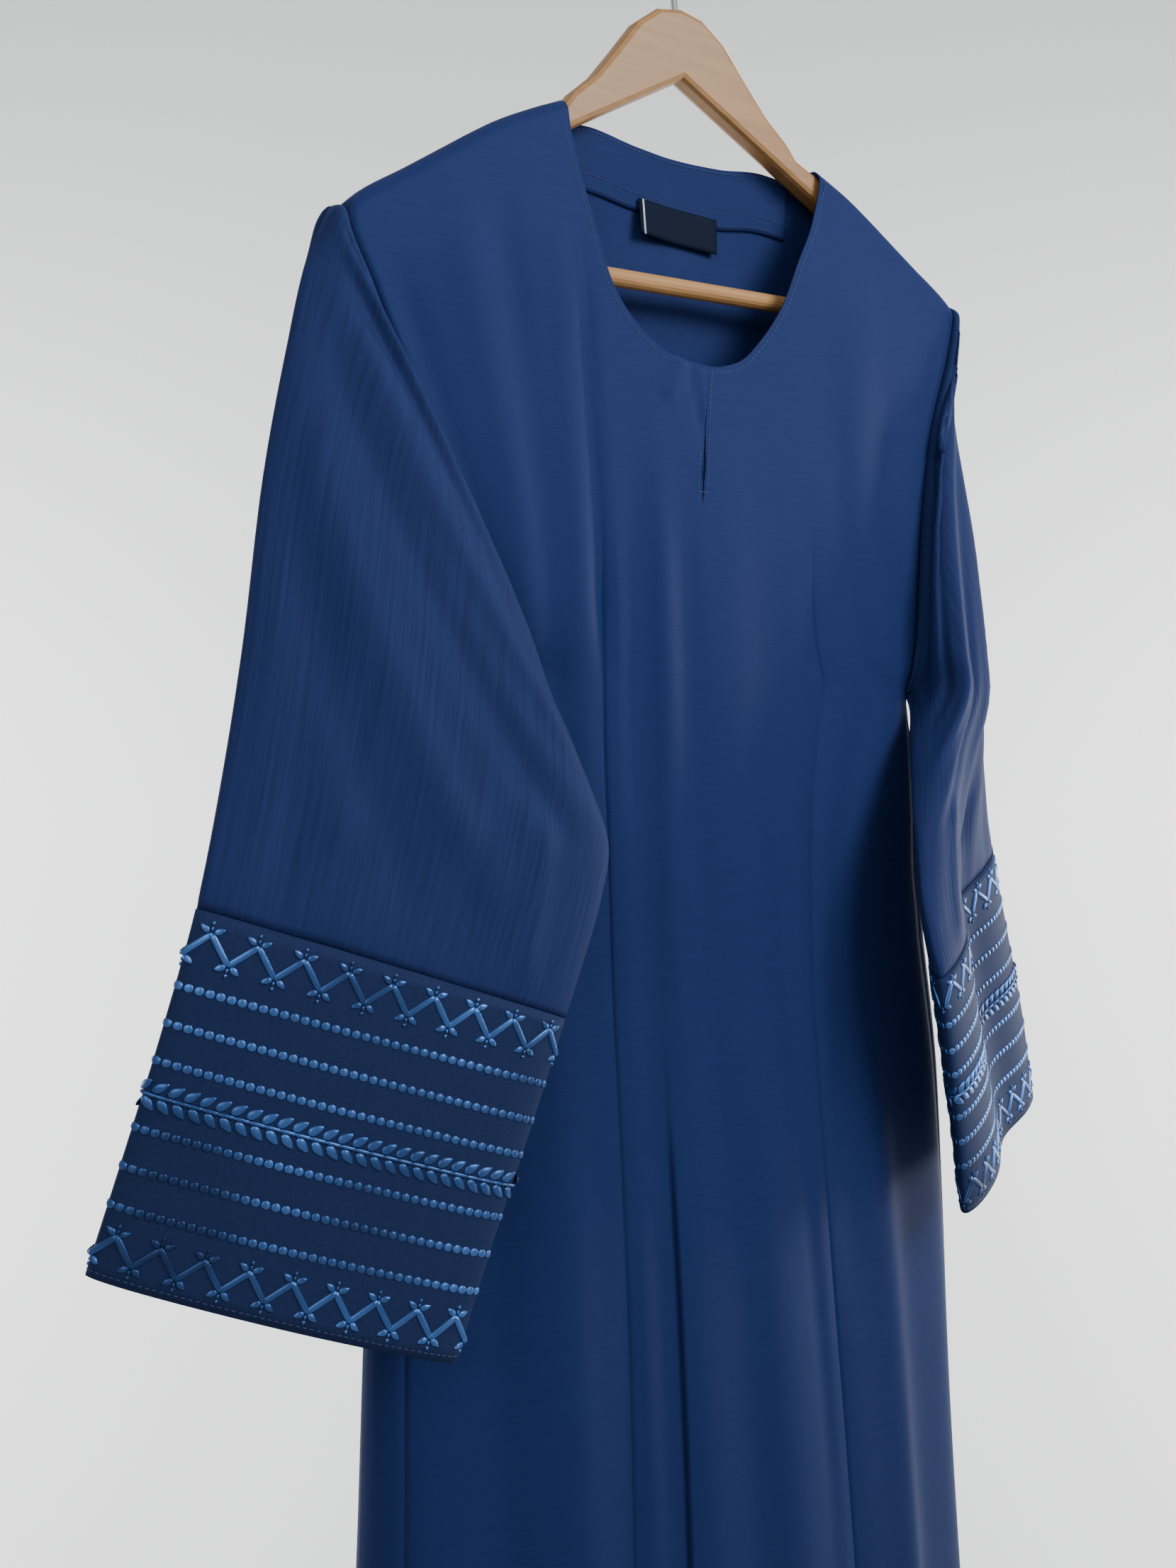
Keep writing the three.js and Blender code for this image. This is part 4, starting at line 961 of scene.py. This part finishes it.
def stitch_run(work, points, normals, pitch=3.0, half_length=1.05, half_width=0.28, height=0.35):
    """Stitches at an even pitch along a line on the cloth."""
    steps = np.linalg.norm(np.diff(points, axis=0), axis=1)
    length = np.concatenate([[0], np.cumsum(steps)])
    for at in np.arange(pitch / 2, length[-1], pitch):
        k = int(np.clip(np.searchsorted(length, at) - 1, 0, len(steps) - 1))
        part = (at - length[k]) / max(steps[k], 1e-9)
        point = points[k] * (1 - part) + points[k + 1] * part
        normal = normals[k] / np.linalg.norm(normals[k])
        along = points[k + 1] - points[k]
        along = along - normal * (along @ normal)
        along /= np.linalg.norm(along)
        side = np.cross(normal, along)
        work.add(dome(point, normal, along, side, half_length, half_width, height, "bar", 6, STITCH_RINGS))


def inset(line, distance):
    """A line of x and z moved sideways into the cloth below it."""
    way = np.gradient(line, axis=0)
    way /= np.linalg.norm(way, axis=1, keepdims=True)
    return line + np.stack([way[:, 1], -way[:, 0]], -1) * distance


# Topstitching of the front neckline, and of the slit
NECK_STITCH_INSET = 3.2
SLIT_STITCH_OFF = 2.4
SLIT_STITCH_TOP_Z = -304
BAR_TACK_DROP = 2.0
HEM_STITCH_RISE = 25
front_final_normals = facing_way(grid_normals(front_points, -1), -1)
neck = Needlework()
inner = (front_xs > NECK_LEFT_X + 0.3) & (front_xs < NECK_RIGHT_X - 0.3)
neckline = front_points[inner, 0][:, [0, 2]]
stitch_run(neck, *on_cloth(front_points, front_final_normals, inset(neckline, NECK_STITCH_INSET)[2:-2]))
slit_line = np.array([front_points[slit_column, row][[0, 2]] for row in range(4, slit_rows)])
slit_open = smooth_read(SLIT["z"], SLIT["half"], slit_line[:, 1])
for way in (1, -1):
    line = slit_line.copy()
    line[:, 0] += way * (SLIT_STITCH_OFF + slit_open)
    if way < 0:
        line = line[line[:, 1] < SLIT_STITCH_TOP_Z]
    stitch_run(neck, *on_cloth(front_points, front_final_normals, line))
bottom = slit_line[-1] + np.array([0, -BAR_TACK_DROP])
bar = np.array([bottom + [way, 0] for way in (-3.2, -1.6, 0, 1.6, 3.2)])
stitch_run(neck, *on_cloth(front_points, front_final_normals, bar), pitch=1.6, half_length=1.0)
neck.piece("front_topstitching", stitching, "crepe")

# Stitches round the hem
hem = Needlework()
for points, way in ((front_points, -1), (back_points, 1)):
    normals = facing_way(grid_normals(points, way), way, np.s_[:, -1])
    row = int(np.argmin(np.abs(points[len(points) // 2, :, 2] - (HEM_Z + HEM_STITCH_RISE))))
    stitch_run(hem, points[:, row], normals[:, row], pitch=4.0, half_length=1.3)
hem.piece("hem_stitches", stitching, "crepe")

# Facing inside the back neck, with three rows of stitches
FACING_HALF = 82.0
FACING_DEPTH = 33.0
FACING_INWARD = 2.1
FACING_LEVELS = 16
FACING_STITCH_ROWS = (14, 11, 1)
back_final_normals = facing_way(grid_normals(back_points, 1), 1, np.s_[:, :20])
facing_columns = np.nonzero(np.abs(back_xs) < FACING_HALF)[0]
facing_grid, facing_normals = [], []
for column in facing_columns:
    line = back_points[column]
    depth = line[0, 2] - line[:, 2]
    levels = np.linspace(0.5, FACING_DEPTH, FACING_LEVELS)
    place = np.stack([np.interp(levels, depth, line[:, axis]) for axis in range(3)], -1)
    way = np.stack([np.interp(levels, depth, back_final_normals[column][:, axis]) for axis in range(3)], -1)
    way /= np.linalg.norm(way, axis=1, keepdims=True)
    facing_grid.append(place - way * FACING_INWARD)
    facing_normals.append(-way)
facing_grid, facing_normals = np.array(facing_grid), np.array(facing_normals)
facing = sheet_mesh("back_neck_facing_cloth", facing_grid, -1)
dress(facing, body_crepe, "back_neck_facing")
neck_back = Needlework()
for row in FACING_STITCH_ROWS:
    stitch_run(neck_back, facing_grid[:, row] + facing_normals[:, row] * 0.1, facing_normals[:, row])
neck_back.piece("facing_topstitching", stitching, "facing_cloth")

# Neck label: blank, its left end a little off the cloth, with a thin white line near it
LABEL_LEFT_OVER, LABEL_RIGHT_SHORT = 1.5, 3.0
LABEL_OUT, LABEL_LIFT = 1.0, 3.4
LABEL_LINE_SHARE = 0.45
label_low, label_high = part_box("neck_label")
label_x = np.linspace(label_low[0] / MM - GARMENT_X - LABEL_LEFT_OVER,
                      label_high[0] / MM - GARMENT_X - LABEL_RIGHT_SHORT, 24)
label_top, label_bottom = label_high[2] / MM, label_low[2] / MM
drop = np.linspace(0, 1, 9)
label_grid = []
for x in label_x:
    share = (x - label_x[0]) / (label_x[-1] - label_x[0])
    column = int(np.argmin(np.abs(facing_grid[:, -1, 0] - x)))
    lifted = LABEL_LIFT * (1 - ease(share / 0.5))
    z = label_top - (label_top - label_bottom) * drop
    y = facing_grid[column, -1, 1] - LABEL_OUT - lifted * (0.35 + 0.65 * drop)
    label_grid.append(np.stack([np.full(len(drop), x), y, z], -1))
label_grid = np.array(label_grid)
label = sheet_mesh("neck_label_cloth", label_grid, -1, thickness=0.4)
dress(label, label_satin, "neck_label")
mark = label_grid[1:3].copy()
mark[1] = mark[0] + (mark[1] - mark[0]) * LABEL_LINE_SHARE
mark[..., 1] -= 0.15
label_line = sheet_mesh("neck_label_line", mark, -1, thickness=0.1)
dress(label_line, label_edge)

# Hanger and underlap: the CAD's own solids with their finishes
CAD_FINISHES = (
    ("hanger_wood", wood, "hanger_wood"), ("hanger_bar", bar_wood, "hanger_wood"),
    ("hanger_hook", wire, "hook_wire"), ("placket_underlap", body_crepe, "facing_cloth"),
)
for node, made, slot in CAD_FINISHES:
    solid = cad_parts[node]
    solid.data.materials.clear()
    solid.data.materials.append(made)

# Floor that curves up into a backdrop, and lights
FLOOR_Z = -1.75
GARMENT_AWAY = 0.7
FLOOR_NEAR, FLOOR_HALF = -3.5, 5.0
BEND_FROM, BEND_RADIUS = 1.6, 1.2
BACKDROP_TOP = 4.5
paper, _ = new_material("paper", PAPER, 0.9, specular=0.1)
sweep_points, sweep_faces = [], []
bend = [(FLOOR_NEAR, 0.0), (BEND_FROM, 0.0)]
for degrees in range(6, 91, 6):
    turn = math.radians(degrees)
    bend.append((BEND_FROM + BEND_RADIUS * math.sin(turn), BEND_RADIUS - BEND_RADIUS * math.cos(turn)))
bend.append((BEND_FROM + BEND_RADIUS, BACKDROP_TOP))
for away, rise in bend:
    for across in (-FLOOR_HALF, FLOOR_HALF):
        x = CAMERA_PLACE[0] - CAMERA_BACK[0] * (away + GARMENT_AWAY) + CAMERA_RIGHT[0] * across
        y = CAMERA_PLACE[1] - CAMERA_BACK[1] * (away + GARMENT_AWAY) + CAMERA_RIGHT[1] * across
        sweep_points.append((x, y, FLOOR_Z + rise))
for k in range(len(bend) - 1):
    sweep_faces.append((2 * k, 2 * k + 1, 2 * k + 3, 2 * k + 2))
sweep_data = bpy.data.meshes.new("floor")
sweep_data.from_pydata(sweep_points, [], sweep_faces)
sweep_data.polygons.foreach_set("use_smooth", [True] * len(sweep_data.polygons))
sweep_data.materials.append(paper)
floor = bpy.data.objects.new("floor", sweep_data)
bpy.context.scene.collection.objects.link(floor)

world = bpy.data.worlds.new("studio")
bpy.context.scene.world = world
world.use_nodes = True
world.node_tree.nodes["Background"].inputs["Color"].default_value = (0.95, 0.975, 1.0, 1)
world.node_tree.nodes["Background"].inputs["Strength"].default_value = WORLD_LIGHT


def area_light(name, place, towards, size, watts):
    data = bpy.data.lights.new(name, "AREA")
    data.shape = "DISK"
    data.size = size
    data.energy = watts
    lamp = bpy.data.objects.new(name, data)
    lamp.location = place
    lamp.rotation_mode = "QUATERNION"
    lamp.rotation_quaternion = (Vector(towards) - Vector(place)).to_track_quat("-Z", "Y")
    bpy.context.scene.collection.objects.link(lamp)
    return lamp


key = area_light("key", KEY_PLACE, KEY_AIM, KEY_SIZE, KEY_WATTS)
key.data.spread = LAMP_SPREAD
fill = area_light("fill", FILL_PLACE, FILL_AIM, FILL_SIZE, FILL_WATTS)
fill.data.spread = LAMP_SPREAD
eye, to_eye, rightward = Vector(CAMERA_PLACE), Vector(CAMERA_BACK), Vector(CAMERA_RIGHT)
for side in (-1, 1):
    place = eye - to_eye * BACKDROP_LAMP_AWAY + rightward * side * BACKDROP_LAMP_ASIDE
    aim = eye - to_eye * BACKDROP_AIM_AWAY + rightward * side * BACKDROP_AIM_ASIDE
    area_light(f"backdrop_light_{side}", place, aim, 1.0, BACKDROP_WATTS)

lens = bpy.data.cameras.new("photo_camera")
lens.lens = CAMERA_LENS
lens.sensor_width = 36
lens.clip_start = 0.01
lens.clip_end = 50
camera = bpy.data.objects.new("photo_camera", lens)
columns = zip(CAMERA_RIGHT, CAMERA_UP, CAMERA_BACK, CAMERA_PLACE)
camera.matrix_world = Matrix([*[list(row) for row in columns], [0, 0, 0, 1]])
bpy.context.scene.collection.objects.link(camera)
bpy.context.scene.camera = camera

bpy.context.view_layer.update()
